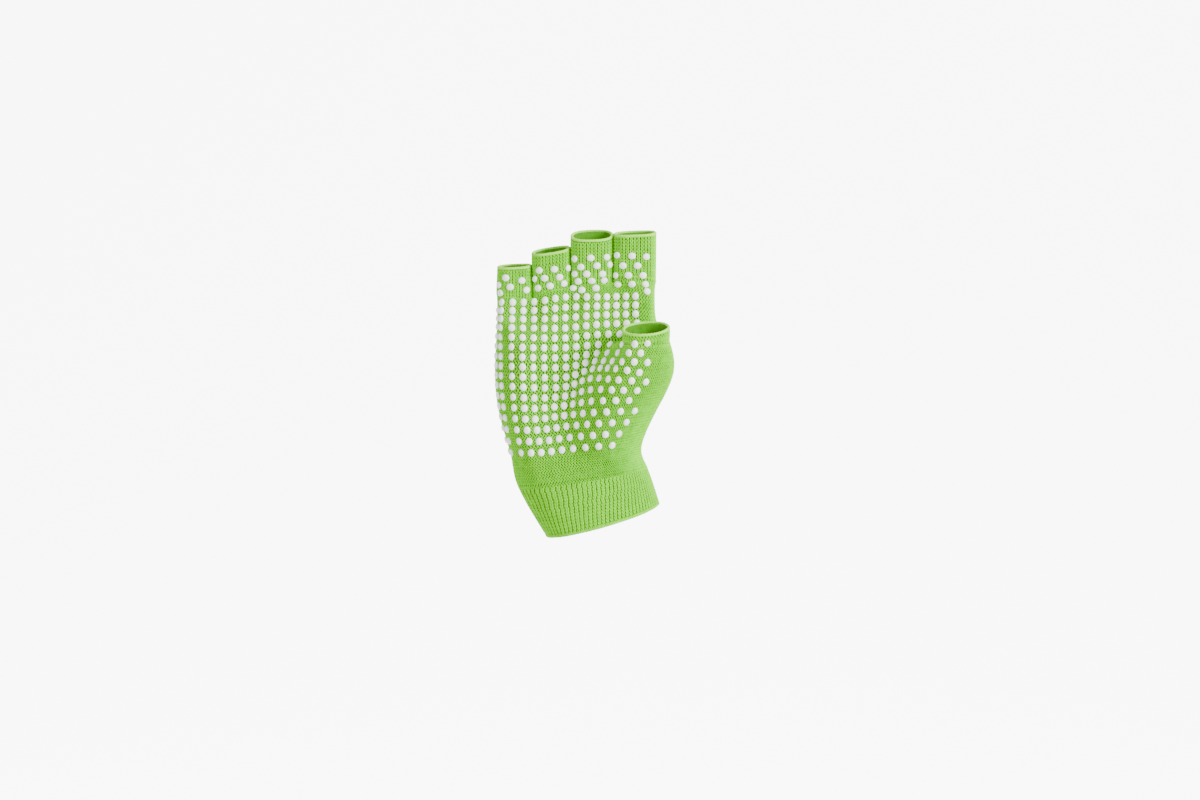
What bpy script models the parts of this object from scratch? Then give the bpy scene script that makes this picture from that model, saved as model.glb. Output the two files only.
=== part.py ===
"""Right-hand fingerless knitted glove with raised grip dots on its palm, in the form that it has when worn.

Metres, +Z up. The fingers point along +Z, the palm faces -Y and the thumb side is +X.
The origin is the centre of the cuff's opening, where the wrist goes in.
"""

import math
from collections import namedtuple

import bmesh
import bpy
import numpy as np
from mathutils import Matrix, Vector
from mathutils.bvhtree import BVHTree

# Sizes of the knit
KNIT_WALL = 0.0013
SEAM_GAP = 0.0003
TUBE_GAP = 0.0012
TUBE_START = 0.0026

# Sizes of the hand part, from the origin at the cuff's opening
LITTLE_SIDE = -0.0528
FINGER_BASE_HEIGHT = 0.1120
FINGER_DEPTH = 0.0190
FINGER_MIDDLE = 0.0006
PALM_FRONT = 0.0125
PALM_BACK = 0.0125
WEB_HEIGHT = 0.0890
THENAR_DEPTH = 0.0335

# Sizes of the thumb's tube
THUMB_X = 0.0211
THUMB_Y = -0.0253
THUMB_WIDTH = 0.0232
THUMB_DEPTH = 0.0196
THUMB_REACH = 0.0082
THUMB_SLOPE = 0.0008
THUMB_DIP = 0.0024

# Sizes of the ribbed cuff
CUFF_WIDTH = 0.0590
CUFF_DEPTH = 0.0400
CUFF_TILT = math.radians(16.2)
CUFF_DIP = 0.0010

# Sizes of the rolled edges and of the grip dots
EDGE_DIAMETER = 0.0016
DOT_DIAMETER = 0.0040
DOT_HEIGHT = 0.0009
DOT_ROOT = 0.0006
DOT_SINK = 0.0002
DOT_RIM_GAP = 0.0008
DOT_SIDES = 10

# A finger's tube: its width at the base, its mouth's share of that width, how far the mouth leans to
# the thumb side, the rise of the crotch on its thumb side and of its mouth above the finger base,
# and how much the mouth's thumb side is higher and its palm side lower.
Finger = namedtuple("Finger", "name width mouth lean crotch reach slope dip")
FINGERS = (
    Finger("little", 0.0178, 0.870, -0.0009, 0.0005, 0.0147, 0.0004, 0.0005),
    Finger("ring", 0.0190, 0.963, -0.0007, 0.0065, 0.0225, 0.0014, 0.0011),
    Finger("middle", 0.0210, 0.962, -0.0004, 0.0080, 0.0300, 0.0003, 0.0022),
    Finger("index", 0.0210, 1.020, 0.0004, 0.0060, 0.0310, 0.0004, 0.0008),
)
FINGER_CORNER_SHARE = 0.76
FINGER_RING = tuple(
    (x if y == 0 else x * FINGER_CORNER_SHARE, y if x == 0 else y * FINGER_CORNER_SHARE)
    for x, y in ((-1, 0), (-1, -1), (0, -1), (1, -1), (1, 0), (1, 1), (0, 1), (-1, 1))
)
THUMB_RING = tuple(
    (math.cos(math.radians(angle)), math.sin(math.radians(angle)))
    for angle in (155, 200, 245, 290, 335, 15, 57, 107)
)
# The knuckle row's share of the way from the web up to the crotches, how deep the valleys between the
# fingers are there as a share of the depth, and how far the palm's two sides lie in from its ends
KNUCKLE_SHARE = 0.5
VALLEY_SHARE = 0.60
VALLEY_DROP = 0.0012
SIDE_INSET_SHARE = 0.13
SIDE_DEPTH_SHARE = 0.78

# A section of the hand below the thumb's web: its two ends, as shares of the finger base's width
# and of the web's height, then the front's key points, as shares of the section's width and of the
# thenar's depth, and the back's, as shares of the palm's back depth.
Section = namedtuple(
    "Section",
    "left left_z right right_z heel hollow_x hollow foot_x foot crest_x crest side corner back rear",
)
SECTIONS = (
    Section(0.132, 0.185, 0.950, 0.300, 0.39, 0.42, 0.56, 0.62, 0.55, 0.86, 0.39, 0.00, 0.86, 1.44, 1.00),
    Section(0.088, 0.354, 0.910, 0.428, 0.43, 0.38, 0.50, 0.52, 0.54, 0.73, 0.61, 0.15, 0.72, 1.32, 0.92),
    Section(0.024, 0.558, 1.004, 0.640, 0.46, 0.36, 0.39, 0.44, 0.42, 0.70, 0.80, 0.36, 0.60, 1.20, 0.84),
    Section(-0.013, 0.775, 1.100, 0.855, 0.46, 0.36, 0.31, 0.50, 0.37, 0.73, 0.94, 0.60, 0.60, 1.12, 0.80),
    Section(-0.008, 0.992, 1.080, 1.008, 0.43, 0.42, 0.29, 0.675, 0.38, 0.79, 1.02, 0.75, 0.64, 1.04, 0.76),
)
HEEL_SHARE = 0.13
CORNER_SHARE = 0.88
BACK_SHARE = 0.47
REAR_SHARE = 0.13
# The steps from one key point of a section to the next, which add up to its columns
SPAN_STEPS = (2, 3, 3, 2, 2, 4, 3, 3, 2)
THUMB_FIRST = 8
THUMB_LAST = 14
THUMB_RING_SHARE = 0.45
# The web behind the thumb, as shares of the base's width and of the palm's front
WEB_SHARE_ACROSS = 0.885
WEB_SHARE_FORWARD = 1.06
WEB_RISE = 0.0004
# How far above its crotch a finger's own part begins, and how the thumb's part begins at its palm side
STALL_RISE = 0.0010
THUMB_CUT_DROP = 0.0050
THUMB_GAP_SHARE = 0.75

# How the cage is fitted, so that its smooth surface goes through the points above
FIT_PASSES = 12
FIT_SHARE = 0.9

# How far the blocks that part the pieces reach, and where the thumb's block begins
BLOCK_REACH = 0.3
THUMB_BLOCK_START = 0.002

# Rows of grip dots on the palm, from the wrist up: the row's number, then the place of its columns
# 0, 3, 6, 9, 12 and 14, as shares of the finger base's width and height.
DotRow = namedtuple("DotRow", "row x0 z0 x3 z3 x6 z6 x9 z9 x12 z12 x14 z14")
DOT_COLUMNS = (0, 3, 6, 9, 12, 14)
DOT_ROWS = (
    DotRow(0, 0.089, 0.304, 0.277, 0.304, 0.480, 0.322, 0.728, 0.336, 0.990, 0.345, 1.160, 0.350),
    DotRow(3, 0.049, 0.460, 0.240, 0.454, 0.424, 0.470, 0.612, 0.484, 0.871, 0.491, 1.050, 0.497),
    DotRow(6, 0.028, 0.604, 0.232, 0.595, 0.435, 0.600, 0.591, 0.636, 0.769, 0.630, 0.942, 0.621),
    DotRow(9, 0.023, 0.736, 0.227, 0.730, 0.434, 0.730, 0.631, 0.749, 0.834, 0.751, 0.985, 0.748),
    DotRow(12, 0.022, 0.865, 0.232, 0.861, 0.430, 0.862, 0.629, 0.877, 0.820, 0.882, 0.950, 0.884),
    DotRow(15, 0.029, 0.977, 0.236, 0.979, 0.434, 1.000, 0.632, 1.000, 0.815, 1.003, 0.935, 1.005),
)
# The last column that has a dot, row by row from the wrist up
DOT_LAST_COLUMN = (9, 10, 11, 12, 12, 13, 14, 14, 14, 13, 14, 13, 13, 13, 13, 13)


def finger_lines():
    """The x of the palm's two sides and of the three crotches, from the little finger on."""
    lines = [LITTLE_SIDE]
    for finger in FINGERS:
        lines.append(lines[-1] + finger.width)
    return lines


LINES = finger_lines()
CROTCHES = [FINGER_BASE_HEIGHT] + [FINGER_BASE_HEIGHT + finger.crotch for finger in FINGERS]
BASE_WIDTH = LINES[-1] - LINES[0]


def through_points(points, steps):
    """Points on a closed smooth curve through key points, with so many steps from each to the next."""
    keys = np.array(points)
    found = []
    for i, count in enumerate(steps):
        before, start, end, after = (keys[(i + k) % len(keys)] for k in (-1, 0, 1, 2))
        chords = [np.linalg.norm(b - a) ** 0.5 for a, b in ((before, start), (start, end), (end, after))]
        slope_in = (start - before) / chords[0] - (end - before) / (chords[0] + chords[1])
        slope_in = slope_in + (end - start) / chords[1]
        slope_out = (end - start) / chords[1] - (after - start) / (chords[1] + chords[2])
        slope_out = slope_out + (after - end) / chords[2]
        for t in np.arange(count) / count:
            found.append(
                (2 * t**3 - 3 * t**2 + 1) * start
                + (t**3 - 2 * t**2 + t) * slope_in * chords[1]
                + (3 * t**2 - 2 * t**3) * end
                + (t**3 - t**2) * slope_out * chords[1]
            )
    return found


def section_ring(section):
    """One section below the web, from the little finger's side round by the palm."""
    left = LITTLE_SIDE + section.left * BASE_WIDTH
    right = LITTLE_SIDE + section.right * BASE_WIDTH
    keys = (
        (0.0, 0.0),
        (HEEL_SHARE, -section.heel * THENAR_DEPTH),
        (section.hollow_x, -section.hollow * THENAR_DEPTH),
        (section.foot_x, -section.foot * THENAR_DEPTH),
        (section.crest_x, -section.crest * THENAR_DEPTH),
        (1.0, -section.side * THENAR_DEPTH),
        (CORNER_SHARE, section.corner * PALM_BACK),
        (BACK_SHARE, section.back * PALM_BACK),
        (REAR_SHARE, section.rear * PALM_BACK),
    )
    flat = through_points([(left + x * (right - left), y) for x, y in keys], SPAN_STEPS)
    bottom, top = section.left_z * WEB_HEIGHT, section.right_z * WEB_HEIGHT
    return [(x, y, bottom + (top - bottom) * (x - left) / (right - left)) for x, y in flat]


def opening_ring():
    """The cuff's opening, a tilted oval around the origin, with the same columns as a section."""
    wrist = SECTIONS[0]
    front = (0.0, HEEL_SHARE, wrist.hollow_x, wrist.foot_x, wrist.crest_x)
    shares = front + (1.0, CORNER_SHARE, BACK_SHARE, REAR_SHARE)
    sides = (0, -1, -1, -1, -1, 0, 1, 1, 1)
    keys = []
    for share, side in zip(shares, sides):
        keys.append((share - 0.5, side * math.sqrt(share * (1 - share))))
    ring = []
    for x, y in through_points(keys, SPAN_STEPS):
        along = x * CUFF_WIDTH
        dip = 2 * y * CUFF_DIP
        ring.append((along * math.cos(CUFF_TILT), y * CUFF_DEPTH, along * math.sin(CUFF_TILT) + dip))
    return ring


def palm_ring(share):
    """A section between the web, at share 0, and the crotches, at share 1, of 20 points."""
    half = FINGER_DEPTH / 2
    inset = SIDE_INSET_SHARE * FINGERS[0].width
    stations = [(LINES[0] + inset, SIDE_DEPTH_SHARE, CROTCHES[0])]
    for i, finger in enumerate(FINGERS):
        stations.append((LINES[i] + finger.width / 2, 1.0, (CROTCHES[i] + CROTCHES[i + 1]) / 2))
        if i < len(FINGERS) - 1:
            stations.append((LINES[i + 1], VALLEY_SHARE, CROTCHES[i + 1] - VALLEY_DROP))
    inset = SIDE_INSET_SHARE * FINGERS[-1].width
    stations.append((LINES[-1] - inset, SIDE_DEPTH_SHARE, CROTCHES[-1]))
    front = []
    back = []
    for x, depth, top in stations:
        height = WEB_HEIGHT + share * (top - WEB_HEIGHT)
        depth = 1 - share * (1 - depth)
        front.append((x, FINGER_MIDDLE - depth * (PALM_FRONT + share * (half - PALM_FRONT)), height))
        back.append((x, FINGER_MIDDLE + depth * (PALM_BACK + share * (half - PALM_BACK)), height))
    little_side = (LINES[0], FINGER_MIDDLE, WEB_HEIGHT + share * (CROTCHES[0] - WEB_HEIGHT))
    index_side = (LINES[-1], FINGER_MIDDLE, WEB_HEIGHT + share * (CROTCHES[-1] - WEB_HEIGHT))
    return [little_side] + front + [index_side] + back[::-1]


def tube_ring(centre, width, depth, slope, dip, corners):
    """Points round a tube at corners of a unit ring: its left side first, then its palm side."""
    ring = []
    for x, y in corners:
        ring.append((centre[0] + x * width / 2, centre[1] + y * depth / 2, centre[2] + x * slope + y * dip))
    return ring


def finger_mouth(index):
    """The centre of a finger's mouth and its width."""
    finger = FINGERS[index]
    x = LINES[index] + finger.width / 2 + finger.lean
    return (x, FINGER_MIDDLE, FINGER_BASE_HEIGHT + finger.reach), finger.width * finger.mouth


def thumb_mouth():
    """The centre of the thumb's mouth."""
    return (THUMB_X, THUMB_Y, WEB_HEIGHT + THUMB_REACH)


def glove_cage():
    """The points and faces of the glove's outer skin, and the loops of its five mouths."""
    points = []
    faces = []
    mouths = {}

    def add(ring):
        start = len(points)
        points.extend(ring)
        return list(range(start, len(points)))

    def skin(low, high):
        for i in range(len(low)):
            j = (i + 1) % len(low)
            faces.append((low[i], low[j], high[j], high[i]))

    wrist = section_ring(SECTIONS[0])
    opening = opening_ring()
    rows = [add(opening), add(wrist)]
    for section in SECTIONS[1:]:
        rows.append(add(section_ring(section)))
    for low, high in zip(rows, rows[1:]):
        skin(low, high)

    web_x = LITTLE_SIDE + WEB_SHARE_ACROSS * BASE_WIDTH
    web = add([(web_x, -WEB_SHARE_FORWARD * PALM_FRONT, WEB_HEIGHT + WEB_RISE)])
    split = rows[-1]
    palm = split[: THUMB_FIRST + 1] + web + split[THUMB_LAST:]
    thumb = split[THUMB_FIRST : THUMB_LAST + 1] + web
    knuckles = add(palm_ring(KNUCKLE_SHARE))
    base = add(palm_ring(1.0))
    skin(palm, knuckles)
    skin(knuckles, base)

    centre = thumb_mouth()
    for share, name in ((THUMB_RING_SHARE, None), (1.0, "thumb")):
        height = WEB_HEIGHT + WEB_RISE + share * (centre[2] - WEB_HEIGHT - WEB_RISE)
        place = (centre[0], centre[1], height)
        ring = add(tube_ring(place, THUMB_WIDTH, THUMB_DEPTH, THUMB_SLOPE, THUMB_DIP * share, THUMB_RING))
        skin(thumb, ring)
        thumb = ring
        if name:
            mouths[name] = ring

    crotches = [base[0]]
    for i in range(1, len(FINGERS)):
        crotches += add([(LINES[i], FINGER_MIDDLE, CROTCHES[i])])
    crotches.append(base[10])
    for i, finger in enumerate(FINGERS):
        front = base[1 + 2 * i : 4 + 2 * i]
        back = [base[(19 - 2 * i - k)] for k in range(3)]
        ring = [crotches[i]] + front + [crotches[i + 1]] + back[::-1]
        mouth, width = finger_mouth(i)
        low_height = (CROTCHES[i] + CROTCHES[i + 1]) / 2 + TUBE_START
        low_slope = (CROTCHES[i + 1] - CROTCHES[i]) / 2
        low_width = finger.width - TUBE_GAP
        low_centre = (LINES[i] + finger.width / 2, FINGER_MIDDLE, low_height)
        low = add(tube_ring(low_centre, low_width, FINGER_DEPTH, low_slope, 0.0, FINGER_RING))
        skin(ring, low)
        ring = add(tube_ring(mouth, width, FINGER_DEPTH, finger.slope, finger.dip, FINGER_RING))
        skin(low, ring)
        mouths[finger.name] = ring
    return np.array(points), faces, mouths


def limit_points(points, faces):
    """Where Catmull-Clark subdivision would take each point of a cage of four-sided faces."""
    edges = {}
    corners = {}
    for face in faces:
        for k in range(4):
            here, after, across, before = (face[(k + j) % 4] for j in range(4))
            edges.setdefault(frozenset((here, after)), []).append(face)
            corners.setdefault(here, []).append(across)
    neighbours = {}
    rims = {}
    for edge, users in edges.items():
        a, b = edge
        for here, there in ((a, b), (b, a)):
            neighbours.setdefault(here, []).append(there)
            if len(users) == 1:
                rims.setdefault(here, []).append(there)
    found = points.copy()
    for here, near in neighbours.items():
        if here in rims:
            found[here] = (4 * points[here] + points[rims[here]].sum(axis=0)) / 6
        else:
            count = len(near)
            total = 4 * points[near].sum(axis=0) + points[corners[here]].sum(axis=0)
            found[here] = (count * count * points[here] + total) / (count * (count + 5))
    return found


def cage_through(points, faces):
    """Moves a cage so that its smooth surface goes through the given points."""
    cage = points.copy()
    for _ in range(FIT_PASSES):
        cage = cage + FIT_SHARE * (points - limit_points(cage, faces))
    return cage


def clear_scene():
    """Removes all objects."""
    for old in list(bpy.data.objects):
        bpy.data.objects.remove(old, do_unlink=True)


def new_collection(name):
    """A new collection in the scene."""
    collection = bpy.data.collections.new(name)
    bpy.context.scene.collection.children.link(collection)
    return collection


def make_material(name, colour, roughness):
    """A plain material of one linear colour."""
    material = bpy.data.materials.new(name)
    material.use_nodes = True
    shader = material.node_tree.nodes["Principled BSDF"]
    shader.inputs["Base Color"].default_value = (*colour, 1.0)
    shader.inputs["Roughness"].default_value = roughness
    shader.inputs["Metallic"].default_value = 0.0
    material.diffuse_color = (*colour, 1.0)
    return material


def mesh_object(name, mesh, collection, material=None):
    """A new object with this mesh, in a collection."""
    piece = bpy.data.objects.new(name, mesh)
    collection.objects.link(piece)
    if material:
        mesh.materials.clear()
        mesh.materials.append(material)
    return piece


def evaluated_mesh(piece):
    """A plain mesh of an object with its modifiers applied."""
    bpy.context.view_layer.update()
    graph = bpy.context.evaluated_depsgraph_get()
    return bpy.data.meshes.new_from_object(piece.evaluated_get(graph))


def glove_skin(collection, points, faces):
    """The smooth outer skin of the whole glove, open at the wrist and at the five mouths."""
    mesh = bpy.data.meshes.new("glove_skin")
    mesh.from_pydata([tuple(p) for p in cage_through(points, faces)], [], faces)
    cage = mesh_object("glove_cage", mesh, collection)
    smooth = cage.modifiers.new("smooth", "SUBSURF")
    smooth.levels = 1
    smooth.render_levels = 1
    skin = evaluated_mesh(cage)
    bpy.data.objects.remove(cage, do_unlink=True)
    return skin


def knit_wall(collection, skin):
    """The glove's wall, one closed solid of even thickness inside the skin."""
    wall = mesh_object("glove_wall", skin.copy(), collection)
    shell = wall.modifiers.new("wall", "SOLIDIFY")
    shell.thickness = KNIT_WALL
    shell.offset = -1.0
    shell.use_even_offset = True
    return wall


def skin_rims(skin):
    """The skin's open ends: for each, its points in order with the skin's normal and the way out."""
    surface = bmesh.new()
    surface.from_mesh(skin)
    links = {}
    for edge in surface.edges:
        if edge.is_boundary:
            for vert in edge.verts:
                links.setdefault(vert, []).append(edge.other_vert(vert))
    rims = []
    while links:
        start = next(iter(links))
        loop = [start]
        here = links.pop(start)[0]
        while here in links:
            loop.append(here)
            here = next((vert for vert in links.pop(here) if vert in links), start)
        rim = []
        for i, vert in enumerate(loop):
            along = (loop[(i + 1) % len(loop)].co - loop[i - 1].co).normalized()
            way = along.cross(vert.normal).normalized()
            inwards = sum((face.calc_center_median() - vert.co for face in vert.link_faces), Vector())
            if way.dot(inwards) > 0:
                way = -way
            rim.append((vert.co.copy(), vert.normal.copy(), way))
        rims.append(rim)
    surface.free()
    return rims


def between_rows(values, rows, row):
    """A value on the smooth curve through the values that are given at some rows."""
    i = max(k for k in range(len(rows) - 1) if rows[k] <= row) if row > rows[0] else 0
    span = rows[i + 1] - rows[i]
    t = (row - rows[i]) / span

    def slope(k):
        low, high = max(k - 1, 0), min(k + 1, len(rows) - 1)
        return (values[high] - values[low]) / (rows[high] - rows[low]) * span

    start, end = values[i], values[i + 1]
    return (
        (2 * t**3 - 3 * t**2 + 1) * start
        + (t**3 - 2 * t**2 + t) * slope(i)
        + (3 * t**2 - 2 * t**3) * end
        + (t**3 - t**2) * slope(i + 1)
    )


def palm_dot_places():
    """The x and z of the palm's dots, row by row from the wrist up."""
    rows = [line.row for line in DOT_ROWS]
    places = []
    for row, last in enumerate(DOT_LAST_COLUMN):
        xs = [between_rows([line[1 + 2 * k] for line in DOT_ROWS], rows, row) for k in range(len(DOT_COLUMNS))]
        zs = [between_rows([line[2 + 2 * k] for line in DOT_ROWS], rows, row) for k in range(len(DOT_COLUMNS))]
        for column in range(last + 1):
            x = LITTLE_SIDE + BASE_WIDTH * between_rows(xs, DOT_COLUMNS, column)
            z = FINGER_BASE_HEIGHT * between_rows(zs, DOT_COLUMNS, column)
            places.append((x, z))
    return places


def dot_frames(tree, rims):
    """The place and the outward direction of each dot, on the palm side and clear of the rims."""
    ends = [place for rim in rims for place, _, _ in rim]
    frames = []
    for x, z in palm_dot_places():
        hit, normal, _, _ = tree.ray_cast(Vector((x, -BLOCK_REACH, z)), Vector((0.0, 1.0, 0.0)))
        if hit is None or min((hit - end).length for end in ends) < DOT_DIAMETER / 2 + DOT_RIM_GAP:
            continue
        if all((hit - other).length > DOT_DIAMETER + SEAM_GAP for other, _ in frames):
            frames.append((hit, normal))
    return frames


def dots_mesh(skin, rims):
    """A low round dome for each dot, whose foot follows the skin and whose root is in the knit."""
    tree = BVHTree.FromPolygons([v.co for v in skin.vertices], [p.vertices[:] for p in skin.polygons])
    dots = bmesh.new()
    for place, normal in dot_frames(tree, rims):
        turn = Matrix.Translation(place) @ normal.to_track_quat("Z", "Y").to_matrix().to_4x4()
        size = {"segments": DOT_SIDES, "radius1": DOT_DIAMETER / 2, "radius2": DOT_DIAMETER / 2}
        stem = bmesh.ops.create_cone(dots, depth=DOT_ROOT, cap_ends=True, matrix=turn, **size)["verts"]
        for vert in stem:
            depth = DOT_SINK if (vert.co - place).dot(normal) > 0 else DOT_ROOT
            near, slant, _, _ = tree.find_nearest(vert.co)
            vert.co = near - slant * depth
        ends = [f for f in {f for v in stem for f in v.link_faces} if len(f.verts) == DOT_SIDES]
        top = max(ends, key=lambda f: f.calc_center_median().dot(normal))
        tip = bmesh.ops.poke(dots, faces=[top])["verts"][0]
        tip.co = place + normal * DOT_HEIGHT
    mesh = bpy.data.meshes.new("grip_dots")
    dots.to_mesh(mesh)
    dots.free()
    return mesh


def grow_outline(outline, amount):
    """Moves each side of an outline, which runs anticlockwise, outwards by an amount."""
    moved = []
    for i, here in enumerate(outline):
        before, after = Vector(outline[i - 1]), Vector(outline[(i + 1) % len(outline)])
        here = Vector(here)
        first = (here - before).normalized()
        second = (after - here).normalized()
        first_out = Vector((first.y, -first.x))
        second_out = Vector((second.y, -second.x))
        moved.append(tuple(here + (first_out + second_out) * (amount / (1 + first_out.dot(second_out)))))
    return moved


def block(name, collection, outline, axis, low, high):
    """A closed prism: an outline in the plane across an axis, X or Y, drawn out along that axis."""
    prism = bmesh.new()
    ends = []
    for value in (low, high):
        ring = []
        for side, height in outline:
            ring.append(prism.verts.new((value, side, height) if axis == "X" else (side, value, height)))
        ends.append(ring)
    prism.faces.new(ends[0])
    prism.faces.new(ends[1][::-1])
    for i in range(len(outline)):
        j = (i + 1) % len(outline)
        prism.faces.new((ends[0][i], ends[1][i], ends[1][j], ends[0][j]))
    bmesh.ops.recalc_face_normals(prism, faces=prism.faces)
    mesh = bpy.data.meshes.new(name)
    prism.to_mesh(mesh)
    prism.free()
    cutter = mesh_object(name, mesh, collection)
    cutter.hide_render = True
    cutter.display_type = "WIRE"
    return cutter


def cut(piece, cutter, operation):
    """Adds an exact Boolean of a piece with a cutter."""
    change = piece.modifiers.new(cutter.name, "BOOLEAN")
    change.operation = operation
    change.solver = "EXACT"
    change.object = cutter


def part_outlines():
    """The outline, in XZ or YZ, of the block of space that holds each part of the glove but the hand."""
    outlines = {}
    mouths = [finger_mouth(i) for i in range(len(FINGERS))]
    for i, finger in enumerate(FINGERS):
        (x, _, top), width = mouths[i]
        ceiling = top + EDGE_DIAMETER * 4
        bottom = max(CROTCHES[i], CROTCHES[i + 1]) + STALL_RISE
        sides = []
        for line, step in ((i, -1), (i + 1, 1)):
            if 0 <= i + step < len(FINGERS):
                (other, _, _), other_width = mouths[i + step]
                gap = (x + step * width / 2 + other - step * other_width / 2) / 2
                slope = (gap - LINES[line]) / (top - CROTCHES[line])
                sides.append([LINES[line] + slope * (z - CROTCHES[line]) for z in (bottom, ceiling)])
            else:
                sides.append([LINES[line] + step * BLOCK_REACH] * 2)
        outlines[finger.name] = (
            (sides[0][0], bottom),
            (sides[1][0], bottom),
            (sides[1][1], ceiling),
            (sides[0][1], ceiling),
        )
    palm_gap = THUMB_GAP_SHARE * (THUMB_Y + THUMB_DEPTH / 2) - (1 - THUMB_GAP_SHARE) * PALM_FRONT
    web_top = WEB_HEIGHT + WEB_RISE + STALL_RISE
    front = THUMB_Y - THUMB_DEPTH
    outlines["thumb"] = (
        (front, web_top - THUMB_CUT_DROP * (palm_gap - front) / THUMB_DEPTH),
        (palm_gap, web_top),
        (palm_gap, WEB_HEIGHT + BLOCK_REACH),
        (front, WEB_HEIGHT + BLOCK_REACH),
    )
    wrist = SECTIONS[0]
    slope = (wrist.right_z - wrist.left_z) * WEB_HEIGHT / ((wrist.right - wrist.left) * BASE_WIDTH)
    start = wrist.left_z * WEB_HEIGHT - wrist.left * BASE_WIDTH * slope
    ends = (LINES[0] - BLOCK_REACH / 2, LINES[-1] + BLOCK_REACH / 2)
    heights = [start + (x - LITTLE_SIDE) * slope for x in ends]
    outlines["cuff"] = (
        (ends[0], -BLOCK_REACH),
        (ends[1], -BLOCK_REACH),
        (ends[1], heights[1]),
        (ends[0], heights[0]),
    )
    return outlines


def rolled_edge(name, rim, collection, material):
    """The rolled edge of a mouth: a closed cord just past the wall's end."""
    curve = bpy.data.curves.new(name, "CURVE")
    curve.dimensions = "3D"
    curve.bevel_depth = EDGE_DIAMETER / 2
    curve.bevel_resolution = 0
    spline = curve.splines.new("POLY")
    spline.points.add(len(rim) - 1)
    spline.use_cyclic_u = True
    for target, (place, normal, way) in zip(spline.points, rim):
        centre = place - normal * (KNIT_WALL / 2) + way * (SEAM_GAP + EDGE_DIAMETER / 2)
        target.co = (*centre, 1.0)
    edge = bpy.data.objects.new(name, curve)
    curve.materials.append(material)
    collection.objects.link(edge)
    return edge


def build_glove():
    """Builds the twelve nodes and keeps the guides that they are cut with."""
    clear_scene()
    glove = new_collection("non_slip_glove")
    cutters = new_collection("cutters")
    knit = make_material("green_knit", (0.28, 0.58, 0.07), 0.9)
    rib = make_material("green_rib_knit", (0.30, 0.60, 0.07), 0.9)
    band = make_material("green_rolled_edge", (0.40, 0.67, 0.16), 0.9)
    points, faces, mouths = glove_cage()

    skin = glove_skin(cutters, points, faces)
    wall = knit_wall(cutters, skin)
    rims = skin_rims(skin)
    dots = mesh_object("grip_dots", dots_mesh(skin, rims), cutters)
    cut(wall, dots, "UNION")
    whole = evaluated_mesh(wall)
    for guide in (wall, dots):
        guide.hide_render = True
        guide.display_type = "WIRE"

    hand = mesh_object("hand", whole.copy(), glove, knit)
    for name, outline in part_outlines().items():
        axis = "X" if name == "thumb" else "Y"
        low, high = (THUMB_BLOCK_START if name == "thumb" else -BLOCK_REACH), BLOCK_REACH
        kept = block("space_of_" + name, cutters, outline, axis, low, high)
        freed = block("room_for_" + name, cutters, grow_outline(outline, SEAM_GAP), axis, low - SEAM_GAP, high)
        node = "rib_cuff" if name == "cuff" else name + "_stall"
        piece = mesh_object(node, whole.copy(), glove, rib if name == "cuff" else knit)
        cut(piece, kept, "INTERSECT")
        cut(hand, freed, "DIFFERENCE")
    for name, loop in mouths.items():
        middle = Vector(points[loop].mean(axis=0))
        rim = min(rims, key=lambda ends: min((place - middle).length for place, _, _ in ends))
        rolled_edge(name + "_rolled_edge", rim, glove, band)


build_glove()
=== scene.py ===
"""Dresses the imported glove: knitted yarn, ribbed cuff, rolled edges and raised grip dots, with its studio.

Metres, +Z to the fingertips, the palm towards -Y, the thumb side +X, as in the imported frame.
"""

import logging
import math
from collections import defaultdict
from dataclasses import asdict, dataclass
from enum import Enum
from typing import Any, NamedTuple, Sequence

import bmesh
import bpy
import numpy as np
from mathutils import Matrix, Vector
from mathutils.bvhtree import BVHTree


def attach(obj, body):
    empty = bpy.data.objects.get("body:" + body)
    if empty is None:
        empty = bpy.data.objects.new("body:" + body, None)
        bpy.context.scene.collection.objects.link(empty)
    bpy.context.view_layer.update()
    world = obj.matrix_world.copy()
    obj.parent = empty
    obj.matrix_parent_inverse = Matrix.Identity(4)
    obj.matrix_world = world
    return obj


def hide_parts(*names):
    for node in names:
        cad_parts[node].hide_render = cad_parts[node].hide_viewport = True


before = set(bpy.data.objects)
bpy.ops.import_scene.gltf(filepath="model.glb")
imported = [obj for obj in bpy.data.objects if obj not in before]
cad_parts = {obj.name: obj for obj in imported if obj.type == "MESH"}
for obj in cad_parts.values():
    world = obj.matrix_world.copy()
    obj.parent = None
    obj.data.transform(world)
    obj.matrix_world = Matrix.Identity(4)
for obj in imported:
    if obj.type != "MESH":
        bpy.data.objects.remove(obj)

LOG = logging.getLogger("glove")
BODY = "root"
TINY = 1e-12
TINY_AREA = 1e-20

Point = tuple[float, float, float]
Value = np.ndarray | float


class Slot(Enum):
    """The record's material slots."""

    KNIT = "green_knit"
    RIB = "green_rib_knit"
    EDGE = "green_rolled_edge"
    DOTS = "white_grip_dots"


class Tube(Enum):
    """The knitted tubes, from the wrist up."""

    CUFF = "cuff"
    HAND = "hand"
    PALM = "palm"
    LITTLE = "little"
    RING = "ring"
    MIDDLE = "middle"
    INDEX = "index"
    THUMB = "thumb"


class Side(Enum):
    """The side of the hand that a field of stitches covers."""

    PALM = "palm"
    BACK = "back"
    BOTH = "both"


FINGER_TUBES = (Tube.LITTLE, Tube.RING, Tube.MIDDLE, Tube.INDEX)
TUBE_BELOW = {Tube.HAND: Tube.CUFF, Tube.PALM: Tube.HAND, Tube.THUMB: Tube.HAND}
TUBE_BELOW.update(dict.fromkeys(FINGER_TUBES, Tube.PALM))


class Finger(NamedTuple):
    """A finger's tube, in metres apart from the mouth's share of the width."""

    tube: Tube
    width: float
    mouth: float
    lean: float
    crotch: float
    reach: float
    slope: float
    dip: float


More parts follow.
